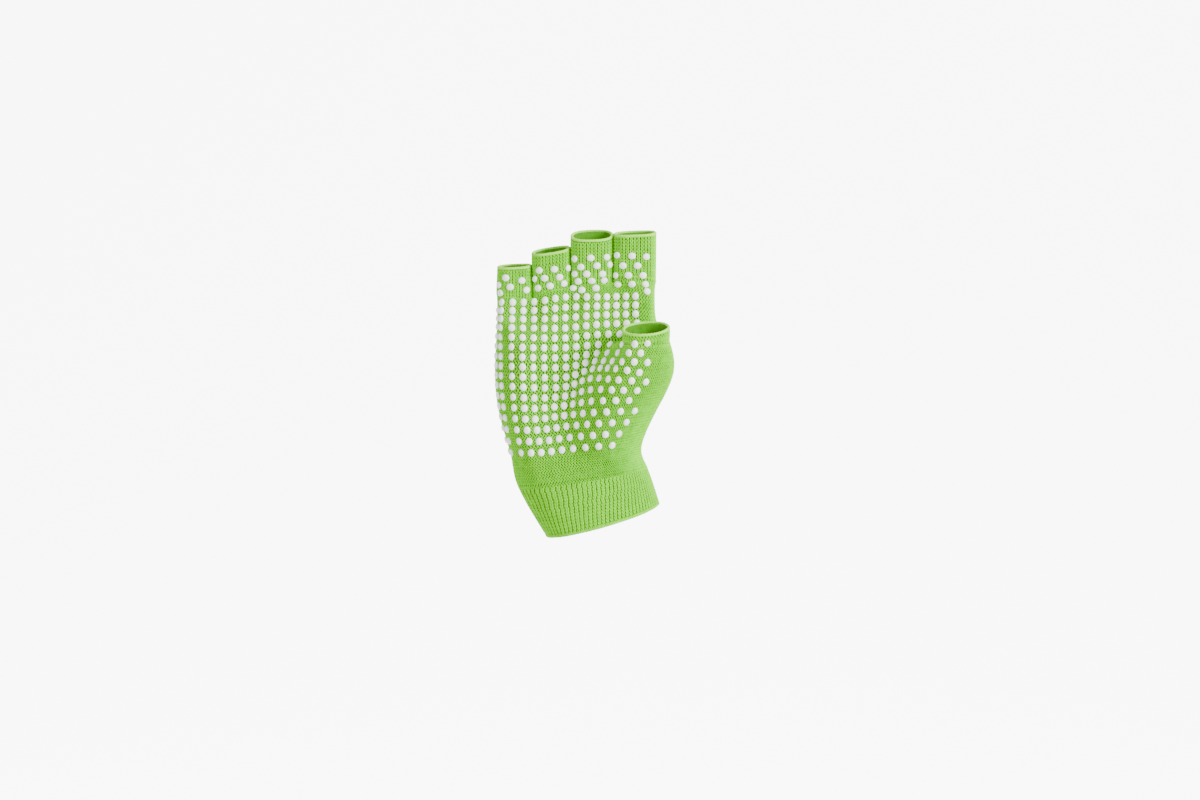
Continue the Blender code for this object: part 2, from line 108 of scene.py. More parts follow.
class Section(NamedTuple):
    """A section below the thumb's web, as shares of the base's width, web height and depths."""

    left: float
    left_z: float
    right: float
    right_z: float
    heel: float
    hollow_x: float
    hollow: float
    foot_x: float
    foot: float
    crest_x: float
    crest: float
    side: float
    corner: float
    back: float
    rear: float


class DotLine(NamedTuple):
    """A line of dots on a finger: its drop below the mouth, its slope, and its dots as shares of the mouth."""

    finger: int
    drop: float
    slope: float
    shares: tuple[float, ...]


class DotRow(NamedTuple):
    """The places of some columns in one row of palm dots, as shares of the base's width and height."""

    row: int
    x0: float
    z0: float
    x3: float
    z3: float
    x6: float
    z6: float
    x9: float
    z9: float
    x12: float
    z12: float
    x14: float
    z14: float


class Softbox(NamedTuple):
    """A square studio light: its place, the length of its sides and its power in watts."""

    name: str
    place: Point
    size: float
    power: float


def cubic(start: Value, slope_in: Value, end: Value, slope_out: Value, t: float, span: float = 1.0) -> Value:
    """Reads a smooth curve between two values.

    Args:
        start: The value at its start.
        slope_in: The slope there.
        end: The value at its end.
        slope_out: The slope there.
        t: Where to read it, from 0 at its start to 1 at its end.
        span: The length that it covers, in the slopes' unit.

    Returns:
        The value there.
    """
    return (
        (2 * t**3 - 3 * t**2 + 1) * start
        + (t**3 - 2 * t**2 + t) * slope_in * span
        + (3 * t**2 - 2 * t**3) * end
        + (t**3 - t**2) * slope_out * span
    )


def through_points(points: Sequence[Sequence[float]], steps: Sequence[int]) -> list[np.ndarray]:
    """Finds points on a closed smooth curve through key points.

    Args:
        points: The key points.
        steps: How many steps to take from each key point to the next.

    Returns:
        The points, in order, beginning with the first key point.
    """
    keys = np.array(points)
    found = []
    for i, count in enumerate(steps):
        before, start, end, after = (keys[(i + k) % len(keys)] for k in (-1, 0, 1, 2))
        chords = [np.linalg.norm(b - a) ** 0.5 for a, b in ((before, start), (start, end), (end, after))]
        slope_in = (start - before) / chords[0] - (end - before) / (chords[0] + chords[1])
        slope_in = slope_in + (end - start) / chords[1]
        slope_out = (end - start) / chords[1] - (after - start) / (chords[1] + chords[2])
        slope_out = slope_out + (after - end) / chords[2]
        found += [cubic(start, slope_in, end, slope_out, t, chords[1]) for t in np.arange(count) / count]
    return found


def between_rows(values: Sequence[float], rows: Sequence[int], row: float) -> float:
    """Reads the smooth curve through values that are given at some rows.

    Args:
        values: The values.
        rows: The rows that they are given at, rising.
        row: The row to read at.

    Returns:
        The value there.
    """
    i = max((k for k in range(len(rows) - 1) if rows[k] <= row), default=0)
    span = rows[i + 1] - rows[i]
    t = (row - rows[i]) / span
    slopes = []
    for k in (i, i + 1):
        low, high = max(k - 1, 0), min(k + 1, len(rows) - 1)
        slopes.append((values[high] - values[low]) / (rows[high] - rows[low]) * span)
    return cubic(values[i], slopes[0], values[i + 1], slopes[1], t)


def unit(vectors: np.ndarray) -> np.ndarray:
    """Scales each vector in an array to length one."""
    return vectors / np.maximum(np.linalg.norm(vectors, axis=-1, keepdims=True), TINY)


def closed_line(rows: np.ndarray) -> tuple[np.ndarray, np.ndarray]:
    """Closes a loop of rows and measures along it.

    Args:
        rows: The loop's rows, each beginning with its place.

    Returns:
        The rows with the first one again at the end, and how far along the loop each lies.
    """
    closed = np.vstack([rows, rows[:1]])
    lengths = np.linalg.norm(np.diff(closed[:, :3], axis=0), axis=1)
    return closed, np.concatenate([[0.0], np.cumsum(lengths)])


def read_line(rows: np.ndarray, along: np.ndarray, wanted: np.ndarray) -> np.ndarray:
    """Reads rows at wanted distances along their line."""
    return np.stack([np.interp(wanted, along, column) for column in rows.T], axis=1)


def edge_users(faces: Sequence[Sequence[int]]) -> dict[frozenset[int], int]:
    """Counts the faces that meet at each edge."""
    users: dict[frozenset[int], int] = defaultdict(int)
    for face in faces:
        for k in range(len(face)):
            users[frozenset((face[k], face[(k + 1) % len(face)]))] += 1
    return users


def closed_chains(links: dict[Any, list[Any]]) -> list[list[Any]]:
    """Follows links from key to key, using them up.

    Args:
        links: For each key, the two that it is linked with.

    Returns:
        The chains of keys that close.
    """
    chains = []
    while links:
        start = next(iter(links))
        chain = [start]
        here = links.pop(start)[0]
        while here in links:
            chain.append(here)
            here = next((key for key in links.pop(here) if key in links), start)
        if here == start:
            chains.append(chain)
    return chains


def plain_mesh(piece: bpy.types.Object) -> bpy.types.Mesh:
    """Makes a plain mesh of an object with its modifiers applied."""
    bpy.context.view_layer.update()
    graph = bpy.context.evaluated_depsgraph_get()
    return bpy.data.meshes.new_from_object(piece.evaluated_get(graph))


def mesh_from(name: str, points: np.ndarray, faces: Sequence[Sequence[int]]) -> bpy.types.Mesh:
    """Makes a mesh from points and faces."""
    mesh = bpy.data.meshes.new(name)
    mesh.from_pydata(np.asarray(points).tolist(), [], [tuple(face) for face in faces])
    mesh.update()
    return mesh


def show(name: str, mesh: bpy.types.Mesh) -> bpy.types.Object:
    """Links a new object with this mesh into the scene."""
    piece = bpy.data.objects.new(name, mesh)
    bpy.context.scene.collection.objects.link(piece)
    return piece


def finish_piece(
    piece: bpy.types.Object, finish: bpy.types.Material, nodes: Sequence[str]
) -> None:
    """Gives a piece its finish, its body and the CAD nodes that it stands for.

    Args:
        piece: The finished piece.
        finish: The material of its whole surface.
        nodes: The CAD nodes that the piece stands for.
    """
    piece.data.materials.clear()
    piece.data.materials.append(finish)
    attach(piece, BODY)
    if nodes:
        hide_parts(*nodes)
    triangles = sum(len(face.vertices) - 2 for face in piece.data.polygons)
    LOG.info("%s: %d triangles, replaces %s", piece.name, triangles, ", ".join(nodes) or "nothing")


@dataclass
class GloveForm:
    """The glove's outer form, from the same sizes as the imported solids."""

    little_side: float = -0.0528
    base_height: float = 0.1120
    finger_depth: float = 0.0190
    finger_middle: float = 0.0006
    palm_front: float = 0.0125
    palm_back: float = 0.0125
    web_height: float = 0.0890
    thenar_depth: float = 0.0335
    tube_gap: float = -0.0006
    tube_start: float = 0.0026
    thumb_x: float = 0.0211
    thumb_y: float = -0.0253
    thumb_width: float = 0.0232
    thumb_depth: float = 0.0196
    thumb_reach: float = 0.0082
    thumb_slope: float = 0.0008
    thumb_dip: float = 0.0024
    cuff_width: float = 0.0590
    cuff_depth: float = 0.0400
    cuff_tilt: float = math.radians(16.2)
    cuff_dip: float = 0.0010
    valley: float = 0.60
    valley_drop: float = 0.0012
    heel_x: float = 0.13
    corner_x: float = 0.88
    back_x: float = 0.47
    rear_x: float = 0.13
    web_x: float = 0.885
    web_y: float = 1.06
    web_rise: float = 0.0004
    join_rise: float = 0.0001
    palm_side: float = 0.13
    palm_side_depth: float = 0.78
    palm_steps: tuple[float, ...] = (0.5, 1.0)
    thumb_first: int = 8
    thumb_last: int = 14
    thumb_steps: tuple[float, ...] = (0.45, 1.0)
    thumb_angles: tuple[int, ...] = (155, 200, 245, 290, 335, 15, 57, 107)
    span_steps: tuple[int, ...] = (2, 3, 3, 2, 2, 4, 3, 3, 2)
    finger_corner: float = 0.76
    fit_passes: int = 12
    fit_share: float = 0.9
    fingers: tuple[Finger, ...] = (
        Finger(Tube.LITTLE, 0.0178, 0.965, -0.0002, 0.0005, 0.0147, 0.0004, 0.0005),
        Finger(Tube.RING, 0.0190, 1.010, -0.0004, 0.0065, 0.0225, 0.0014, 0.0011),
        Finger(Tube.MIDDLE, 0.0210, 1.010, 0.0000, 0.0080, 0.0300, 0.0003, 0.0022),
        Finger(Tube.INDEX, 0.0210, 1.020, 0.0003, 0.0060, 0.0310, 0.0004, 0.0008),
    )
    sections: tuple[Section, ...] = (
        Section(0.132, 0.185, 0.950, 0.300, 0.39, 0.42, 0.56, 0.62, 0.55, 0.86, 0.39, 0.00, 0.86, 1.44, 1.00),
        Section(0.088, 0.354, 0.910, 0.428, 0.43, 0.38, 0.50, 0.52, 0.54, 0.73, 0.61, 0.15, 0.72, 1.32, 0.92),
        Section(0.024, 0.558, 1.004, 0.640, 0.46, 0.36, 0.39, 0.44, 0.42, 0.70, 0.80, 0.36, 0.60, 1.20, 0.84),
        Section(-0.013, 0.775, 1.100, 0.855, 0.46, 0.36, 0.31, 0.50, 0.37, 0.73, 0.94, 0.60, 0.60, 1.12, 0.80),
        Section(-0.008, 0.992, 1.080, 1.008, 0.43, 0.42, 0.29, 0.675, 0.38, 0.79, 1.02, 0.75, 0.64, 1.04, 0.76),
    )

    def __post_init__(self) -> None:
        """Works out the lines between the fingers and the heights of the crotches."""
        self.lines = [self.little_side]
        for finger in self.fingers:
            self.lines.append(self.lines[-1] + finger.width)
        self.crotches = [self.base_height] + [self.base_height + finger.crotch for finger in self.fingers]
        self.base_width = self.lines[-1] - self.lines[0]
        self.points: list[Point] = []
        self.courses: list[float] = []
        self.joins: list[float] = []
        self.faces: list[tuple[int, ...]] = []
        self.tags: list[int] = []

    def add_ring(self, ring: Sequence[Sequence[float]], below: Sequence[int] = ()) -> list[int]:
        """Adds a ring of points to the cage, at its mean distance up the knit from the ring below.

        Args:
            ring: The points.
            below: The numbers of the points below them, one for each, or none at the opening.

        Returns:
            The new points' numbers.
        """
        start = len(self.points)
        course = 0.0
        if below:
            gaps = [math.dist(self.points[low], point) for low, point in zip(below, ring)]
            course = self.courses[below[0]] + sum(gaps) / len(gaps)
        self.points.extend(tuple(float(c) for c in point) for point in ring)
        self.courses.extend([course] * len(ring))
        return list(range(start, len(self.points)))

    def add_surface(self, low: Sequence[int], high: Sequence[int], tube: Tube) -> None:
        """Adds the faces between two rings, tagged with the tube that they belong to."""
        for i in range(len(low)):
            j = (i + 1) % len(low)
            self.faces.append((low[i], low[j], high[j], high[i]))
            self.tags.append(list(Tube).index(tube))

    def section_ring(self, section: Section) -> list[Point]:
        """Makes one section below the web, from the little finger's side round by the palm."""
        left = self.little_side + section.left * self.base_width
        right = self.little_side + section.right * self.base_width
        keys = (
            (0.0, 0.0),
            (self.heel_x, -section.heel * self.thenar_depth),
            (section.hollow_x, -section.hollow * self.thenar_depth),
            (section.foot_x, -section.foot * self.thenar_depth),
            (section.crest_x, -section.crest * self.thenar_depth),
            (1.0, -section.side * self.thenar_depth),
            (self.corner_x, section.corner * self.palm_back),
            (self.back_x, section.back * self.palm_back),
            (self.rear_x, section.rear * self.palm_back),
        )
        flat = through_points([(left + x * (right - left), y) for x, y in keys], self.span_steps)
        bottom, top = section.left_z * self.web_height, section.right_z * self.web_height
        return [(x, y, bottom + (top - bottom) * (x - left) / (right - left)) for x, y in flat]

    def opening_ring(self) -> list[Point]:
        """Makes the cuff's opening, a tilted oval around the origin."""
        wrist = self.sections[0]
        middle = (wrist.hollow_x, wrist.foot_x, wrist.crest_x)
        shares = (0, self.heel_x, *middle, 1, self.corner_x, self.back_x, self.rear_x)
        sides = (0, -1, -1, -1, -1, 0, 1, 1, 1)
        keys = [(share - 0.5, side * math.sqrt(share * (1 - share))) for share, side in zip(shares, sides)]
        ring = []
        for x, y in through_points(keys, self.span_steps):
            along = x * self.cuff_width
            height = along * math.sin(self.cuff_tilt) + 2 * y * self.cuff_dip
            ring.append((along * math.cos(self.cuff_tilt), y * self.cuff_depth, height))
        return ring

    def palm_ring(self, share: float) -> list[Point]:
        """Makes a section between the web, at share 0, and the crotches, at share 1."""
        half = self.finger_depth / 2
        left = self.lines[0] + self.palm_side * self.fingers[0].width
        right = self.lines[-1] - self.palm_side * self.fingers[-1].width
        stations = [(left, self.palm_side_depth, self.crotches[0])]
        for i, finger in enumerate(self.fingers):
            crotch = (self.crotches[i] + self.crotches[i + 1]) / 2
            stations.append((self.lines[i] + finger.width / 2, 1.0, crotch))
            if i < len(self.fingers) - 1:
                stations.append((self.lines[i + 1], self.valley, self.crotches[i + 1] - self.valley_drop))
        stations.append((right, self.palm_side_depth, self.crotches[-1]))
        front, back = [], []
        for x, depth, top in stations:
            height = self.web_height + share * (top - self.web_height)
            depth = 1 - share * (1 - depth)
            forward = self.palm_front + share * (half - self.palm_front)
            rearward = self.palm_back + share * (half - self.palm_back)
            front.append((x, self.finger_middle - depth * forward, height))
            back.append((x, self.finger_middle + depth * rearward, height))
        sides = []
        for line, crotch in ((self.lines[0], self.crotches[0]), (self.lines[-1], self.crotches[-1])):
            sides.append((line, self.finger_middle, self.web_height + share * (crotch - self.web_height)))
        return [sides[0]] + front + [sides[1]] + back[::-1]

    @staticmethod
    def tube_ring(
        centre: Point, width: float, depth: float, slope: float, dip: float,
        corners: Sequence[tuple[float, float]],
    ) -> list[Point]:
        """Makes points round a tube at corners of a unit ring.

        Args:
            centre: The ring's centre.
            width: Its size along X.
            depth: Its size along Y.
            slope: How much higher its thumb side is than its centre.
            dip: How much lower its palm side is than its centre.
            corners: The unit ring.

        Returns:
            The points, from the left side round by the palm side.
        """
        x0, y0, z0 = centre
        return [(x0 + x * width / 2, y0 + y * depth / 2, z0 + x * slope + y * dip) for x, y in corners]

    def finger_mouth(self, index: int) -> tuple[Point, float]:
        """Gives the centre of a finger's mouth, and its width."""
        finger = self.fingers[index]
        x = self.lines[index] + finger.width / 2 + finger.lean
        return (x, self.finger_middle, self.base_height + finger.reach), finger.width * finger.mouth

    def middles(self) -> dict[Tube, float]:
        """Gives the x of the middle of each tube's palm side."""
        places = {Tube.CUFF: 0.0, Tube.HAND: 0.0, Tube.PALM: self.little_side + self.base_width / 2}
        places[Tube.THUMB] = self.thumb_x
        for index, finger in enumerate(self.fingers):
            places[finger.tube] = self.finger_mouth(index)[0][0]
        return places

    def build_cage(self) -> None:
        """Builds the points and faces that the smooth surface goes through."""
        rows = [self.add_ring(self.opening_ring())]
        for section in self.sections:
            rows.append(self.add_ring(self.section_ring(section), rows[-1]))
        for i, (low, high) in enumerate(zip(rows, rows[1:])):
            self.add_surface(low, high, Tube.CUFF if i == 0 else Tube.HAND)
        web_point = (self.little_side + self.web_x * self.base_width, -self.web_y * self.palm_front)
        web = self.add_ring([(*web_point, self.web_height + self.web_rise)])
        self.courses[web[0]] = self.courses[rows[-1][0]]
        self.joins = [self.courses[web[0]] + self.join_rise]
        split = rows[-1]
        palm = split[: self.thumb_first + 1] + web + split[self.thumb_last :]
        thumb = split[self.thumb_first : self.thumb_last + 1] + web
        for share in self.palm_steps:
            ring = self.palm_ring(share)
            upper = self.add_ring(ring, palm)
            self.add_surface(palm, upper, Tube.PALM)
            palm = upper
        self.build_thumb(thumb)
        self.build_fingers(palm)

    def build_thumb(self, thumb: list[int]) -> None:
        """Adds the thumb's tube above its ring of points in the web's section."""
        corners = [(math.cos(math.radians(a)), math.sin(math.radians(a))) for a in self.thumb_angles]
        rise = self.thumb_reach - self.web_rise
        for share in self.thumb_steps:
            place = (self.thumb_x, self.thumb_y, self.web_height + self.web_rise + share * rise)
            sizes = (self.thumb_width, self.thumb_depth, self.thumb_slope, self.thumb_dip * share)
            ring = self.add_ring(self.tube_ring(place, *sizes, corners), thumb)
            self.add_surface(thumb, ring, Tube.THUMB)
            thumb = ring

    def build_fingers(self, base: list[int]) -> None:
        """Adds the four finger tubes above the palm's last section."""
        corner = self.finger_corner
        corners = [(-1, 0), (-corner, -corner), (0, -1), (corner, -corner)]
        corners += [(-x, -y) for x, y in corners]
        course = self.courses[base[0]]
        self.joins.append(course + self.join_rise)
        crotches = [base[0]]
        for i in range(1, len(self.fingers)):
            crotches += self.add_ring([(self.lines[i], self.finger_middle, self.crotches[i])])
            self.courses[-1] = course
        crotches.append(base[len(base) // 2])
        for i, finger in enumerate(self.fingers):
            back = [base[len(base) - 1 - 2 * i - k] for k in range(3)]
            ring = [crotches[i]] + base[1 + 2 * i : 4 + 2 * i] + [crotches[i + 1]] + back[::-1]
            mouth, width = self.finger_mouth(i)
            low_height = (self.crotches[i] + self.crotches[i + 1]) / 2 + self.tube_start
            low_centre = (self.lines[i] + finger.width / 2, self.finger_middle, low_height)
            low_slope = (self.crotches[i + 1] - self.crotches[i]) / 2
            low_ring = self.tube_ring(
                low_centre, finger.width - self.tube_gap, self.finger_depth, low_slope, 0.0, corners
            )
            low = self.add_ring(low_ring, ring)
            self.add_surface(ring, low, finger.tube)
            high_ring = self.tube_ring(mouth, width, self.finger_depth, finger.slope, finger.dip, corners)
            high = self.add_ring(high_ring, low)
            self.add_surface(low, high, finger.tube)

    def limit_points(self, points: np.ndarray) -> np.ndarray:
        """Finds where subdivision would take each point of the cage in the end.

        Args:
            points: The cage's points.

        Returns:
            Their places on the smooth surface.
        """
        across: dict[int, list[int]] = defaultdict(list)
        for face in self.faces:
            for k in range(4):
                across[face[k]].append(face[(k + 2) % 4])
        near: dict[int, list[int]] = defaultdict(list)
        rim: dict[int, list[int]] = defaultdict(list)
        for edge, count in edge_users(self.faces).items():
            a, b = edge
            for here, there in ((a, b), (b, a)):
                near[here].append(there)
                if count == 1:
                    rim[here].append(there)
        found = points.copy()
        for here, others in near.items():
            if here in rim:
                found[here] = (4 * points[here] + points[rim[here]].sum(axis=0)) / 6
            else:
                n = len(others)
                total = n * n * points[here] + 4 * points[others].sum(axis=0)
                total = total + points[across[here]].sum(axis=0)
                found[here] = total / (n * (n + 5))
        return found

    def surface(self, level: int) -> bpy.types.Mesh:
        """Makes the smooth outer surface of the whole glove.

        Args:
            level: The subdivision level.

        Returns:
            A mesh with the tube's number as material index and a course attribute.
        """
        if not self.points:
            self.build_cage()
        targets = np.array(self.points)
        cage = targets.copy()
        for _ in range(self.fit_passes):
            cage = cage + self.fit_share * (targets - self.limit_points(cage))
        mesh = mesh_from("glove_surface", cage, self.faces)
        mesh.polygons.foreach_set("material_index", self.tags)
        course = mesh.attributes.new("course", "FLOAT", "POINT")
        course.data.foreach_set("value", self.courses)
        guide = show("glove_cage", mesh)
        for _ in Tube:
            mesh.materials.append(None)
        smooth = guide.modifiers.new("smooth", "SUBSURF")
        smooth.levels = level
        smooth.render_levels = level
        surface = plain_mesh(guide)
        bpy.data.objects.remove(guide, do_unlink=True)
        return surface


@dataclass
class Course:
    """One closed loop round a tube, sampled once for each stitch."""

    places: np.ndarray
    normals: np.ndarray
    ups: np.ndarray
    widths: np.ndarray
    line: np.ndarray
    heights: np.ndarray

    def reach(self, lines: Sequence[np.ndarray], least: float, most: float) -> None:
        """Makes each stitch as tall as the wider of the gaps to the courses beside it.

        Args:
            lines: The points along the course below, and along those above.
            least: The least height of a stitch.
            most: The greatest height of a stitch.
        """
        gaps = [np.full(len(self.places), least)]
        for line in lines:
            apart = np.linalg.norm(self.places[:, None, :] - line[None, :, :], axis=2)
            gaps.append(apart.min(axis=1))
        self.heights = np.minimum(np.max(gaps, axis=0), most)


class KnitSurface:
    """The smooth surface in arrays, which finds the courses of stitches round its tubes."""

    EVEN_PASSES = 4
    SHORTEST_LOOP = 8
    LEAST_HEIGHT = 0.5
    MOST_HEIGHT = 1.7

    def __init__(self, mesh: bpy.types.Mesh) -> None:
        """Reads the surface and finds which way the knit runs at each of its points.

        Args:
            mesh: The surface, of four-sided faces, with its course attribute.
        """
        self.mesh = mesh
        count = len(mesh.vertices)
        self.points = np.empty(count * 3)
        mesh.vertices.foreach_get("co", self.points)
        self.points = self.points.reshape(-1, 3)
        self.normals = np.empty(count * 3)
        mesh.vertex_normals.foreach_get("vector", self.normals)
        self.normals = self.normals.reshape(-1, 3)
        self.course = np.empty(count)
        mesh.attributes["course"].data.foreach_get("value", self.course)
        corners = np.empty(len(mesh.loops), dtype=int)
        mesh.loops.foreach_get("vertex_index", corners)
        self.quads = corners.reshape(-1, 4)
        self.tags = np.empty(len(mesh.polygons), dtype=int)
        mesh.polygons.foreach_get("material_index", self.tags)
        self.triangles = np.concatenate([self.quads[:, [0, 1, 2]], self.quads[:, [0, 2, 3]]])
        self.triangle_tags = np.concatenate([self.tags, self.tags])
        self.climb = self.find_climb()
        for _ in range(self.EVEN_PASSES):
            self.normals = unit(self.evened(self.normals))
            self.climb = self.evened(self.climb)

    def evened(self, vectors: np.ndarray) -> np.ndarray:
        """Averages each point's vector with those of the faces round it."""
        total = np.zeros_like(vectors)
        count = np.zeros((len(vectors), 1))
        middles = vectors[self.quads].mean(axis=1)
        for k in range(4):
            np.add.at(total, self.quads[:, k], middles)
            np.add.at(count, self.quads[:, k], 1.0)
        return total / count

    def find_climb(self) -> np.ndarray:
        """Finds at each point how fast the course rises along the surface, and in which direction."""
        a, b, c = (self.points[self.triangles[:, k]] for k in range(3))
        across = np.cross(b - a, c - a)
        area = (across**2).sum(axis=1, keepdims=True)
        values = self.course[self.triangles]
        slope = values[:, :1] * np.cross(across, c - b) + values[:, 1:2] * np.cross(across, a - c)
        slope = (slope + values[:, 2:] * np.cross(across, b - a)) / np.maximum(area, TINY_AREA)
        total = np.zeros_like(self.points)
        weight = np.zeros((len(self.points), 1))
        for k in range(3):
            np.add.at(total, self.triangles[:, k], slope * np.sqrt(area))
            np.add.at(weight, self.triangles[:, k], np.sqrt(area))
        return total / np.maximum(weight, TINY_AREA)

    def tree(self) -> BVHTree:
        """Makes a search tree of the surface."""
        return BVHTree.FromPolygons(self.points.tolist(), self.quads.tolist())

    def loops_at(self, level: float) -> list[tuple[np.ndarray, Tube]]:
        """Traces where the surface has one course value.

        Args:
            level: The course value, in metres.

        Returns:
            For each closed loop, rows of place, normal and climb, and the tube that it runs round.
        """
        above = self.course > level
        states = above[self.triangles]
        mixed = np.flatnonzero(states.any(axis=1) & ~states.all(axis=1))
        crossing: dict[tuple[int, int], np.ndarray] = {}
        links: dict[tuple[int, int], list[tuple[int, int]]] = defaultdict(list)
        tags: dict[tuple[int, int], int] = {}
        for number in mixed:
            corners, state = self.triangles[number], states[number]
            lone = next(k for k in range(3) if state[k] != state[k - 1] and state[k] != state[k - 2])
            ends = []
            for k in (1, 2):
                a, b = int(corners[lone]), int(corners[(lone + k) % 3])
                key = (min(a, b), max(a, b))
                if key not in crossing:
                    t = (level - self.course[a]) / (self.course[b] - self.course[a])
                    row_a = np.concatenate([self.points[a], self.normals[a], self.climb[a]])
                    row_b = np.concatenate([self.points[b], self.normals[b], self.climb[b]])
                    crossing[key] = row_a + t * (row_b - row_a)
                ends.append(key)
                tags[key] = int(self.triangle_tags[number])
            links[ends[0]].append(ends[1])
            links[ends[1]].append(ends[0])
        loops = []
        for chain in closed_chains(links):
            if len(chain) > self.SHORTEST_LOOP:
                votes = np.bincount([tags[key] for key in chain])
                loops.append((np.array([crossing[key] for key in chain]), list(Tube)[int(votes.argmax())]))
        return loops

    @staticmethod
    def turned(loop: np.ndarray) -> np.ndarray:
        """Turns a loop so that it runs from the little finger's side round by the palm."""
        along = np.roll(loop[:, :3], -1, axis=0) - np.roll(loop[:, :3], 1, axis=0)
        rise = np.cross(loop[:, 3:6], along)
        return loop if (rise * loop[:, 6:9]).sum() > 0 else loop[::-1]

    @staticmethod
    def sampled(loop: np.ndarray, count: int, middle: float, step: float) -> Course:
        """Samples a loop so that a wale runs straight up the middle of its front and of its back.

        Args:
            loop: The loop's rows.
            count: How many stitches go round it.
            middle: The x of the wales that run straight up the front and the back.
            step: The height of a course.

        Returns:
            The course of stitches.
        """
        away = np.abs(loop[:, 0] - middle)
        first = int(np.where(loop[:, 4] < 0, away, np.inf).argmin())
        last = (int(np.where(loop[:, 4] < 0, np.inf, away).argmin()) - first) % len(loop)
        loop = np.roll(loop, -first, axis=0)
        closed, along = closed_line(loop)
        share = np.arange(count) / count
        shift = along[last] - along[-1] / 2
        wanted = share * along[-1] + shift * (1 - np.cos(2 * math.pi * share)) / 2
        widths = (along[-1] + shift * math.pi * np.sin(2 * math.pi * share)) / count
        rows = read_line(closed, along, wanted)
        places, normals, ups = rows[:, :3], unit(rows[:, 3:6]), unit(rows[:, 6:9])
        return Course(places, normals, ups, widths, loop[:, :3], np.full(count, step))

    def courses(
        self, step: float, counts: dict[Tube, int], middles: dict[Tube, float], joins: Sequence[float]
    ) -> dict[Tube, list[Course]]:
        """Finds all courses of stitches from the wrist up.

        Args:
            step: The height of a course.
            counts: How many stitches go round each tube.
            middles: For each tube, the x of the wale on its palm side that runs straight up.
            joins: The course values where tubes part, which get a course of their own.

        Returns:
            The courses of each tube.
        """
        found: dict[Tube, list[Course]] = defaultdict(list)
        levels = list(np.arange(step / 2, self.course.max(), step)) + list(joins)
        for level in sorted(levels):
            for loop, tube in self.loops_at(level):
                loop = self.turned(loop)
                found[tube].append(self.sampled(loop, counts[tube], middles[tube], step))
        for tube, rows in found.items():
            below = [found[TUBE_BELOW[tube]][-1]] if tube in TUBE_BELOW else []
            above = [found[other][0].line for other in found if TUBE_BELOW.get(other) is tube]
            chain = [row.line for row in below + rows]
            chain += [np.vstack(above)] if above else []
            for i, row in enumerate(rows, start=len(below)):
                beside = chain[max(i - 1, 0) : i] + chain[i + 1 : i + 2]
                row.reach(beside, step * self.LEAST_HEIGHT, step * self.MOST_HEIGHT)
        return found

    def part(self, name: str, tubes: Sequence[Tube], sink: float, wall: float) -> bpy.types.Object:
        """Makes the closed wall of the tubes' part of the surface.

        Args:
            name: The new object's name.
            tubes: The tubes that it covers.
            sink: How far below the surface its outer face lies.
            wall: Its thickness.

        Returns:
            The wall.
        """
        numbers = [list(Tube).index(tube) for tube in tubes]
        quads = self.quads[np.isin(self.tags, numbers)]
        used, local = np.unique(quads, return_inverse=True)
        local = local.reshape(-1, 4)
        outer = self.points[used] - self.normals[used] * sink
        inner = outer - self.normals[used] * wall
        users = edge_users(local.tolist())
        faces = local.tolist()
        for face in local.tolist():
            faces.append([corner + len(used) for corner in reversed(face)])
            for k in range(4):
                a, b = face[k], face[(k + 1) % 4]
                if users[frozenset((a, b))] == 1:
                    faces.append([b, a, a + len(used), b + len(used)])
        piece = show(name, mesh_from(name, np.vstack([outer, inner]), faces))
        piece.data.shade_smooth()
        return piece

    def rims(self) -> list[np.ndarray]:
        """Finds the surface's open ends.

        Returns:
            For each, rows of place, normal and the direction out of the tube.
        """
        links: dict[int, list[int]] = defaultdict(list)
        for edge, count in edge_users(self.quads.tolist()).items():
            if count == 1:
                a, b = sorted(edge)
                links[a].append(b)
                links[b].append(a)
        rims = []
        for chain in closed_chains(links):
            places, normals = self.points[chain], self.normals[chain]
            along = np.roll(places, -1, axis=0) - np.roll(places, 1, axis=0)
            out = unit(np.cross(normals, along))
            if (out * self.climb[chain]).sum() < 0:
                places, normals, out = places[::-1], normals[::-1], -out[::-1]
            rims.append(np.hstack([places, normals, out]))
        return rims


def srgb(code: str, alpha: float = 1.0) -> tuple[float, float, float, float]:
    """Turns an sRGB hex colour to linear light.

    Args:
        code: Six hex digits.
        alpha: The opacity.

    Returns:
        The linear colour.
    """
    parts = [int(code[k : k + 2], 16) / 255 for k in (0, 2, 4)]
    linear = [part / 12.92 if part <= 0.04045 else ((part + 0.055) / 1.055) ** 2.4 for part in parts]
    return (*linear, alpha)


def add_node(
    tree: bpy.types.NodeTree, kind: str, settings: dict[str, Any], links: dict[Any, Any]
) -> bpy.types.Node:
    """Adds a node with its settings and links.

    Args:
        tree: The tree that gets it.
        kind: The node's type name.
        settings: Properties by name, and input values by name or number under "inputs".
        links: For each input, by name or number, the output socket that feeds it.

    Returns:
        The node.
    """
    node = tree.nodes.new(kind)
    for key, value in settings.items():
        if key != "inputs":
            setattr(node, key, value)
    for key, value in settings.get("inputs", {}).items():
        node.inputs[key].default_value = value
    for key, output in links.items():
        tree.links.new(output, node.inputs[key])
    return node


def new_material(name: str) -> tuple[bpy.types.Material, bpy.types.ShaderNode, bpy.types.NodeSocket]:
    """Makes a material.

    Args:
        name: Its name.

    Returns:
        The material, its shader, and the socket that gives the place on the object.
    """
    material = bpy.data.materials.new(name)
    material.use_nodes = True
    place = add_node(material.node_tree, "ShaderNodeTexCoord", {}, {}).outputs["Object"]
    return material, material.node_tree.nodes["Principled BSDF"], place


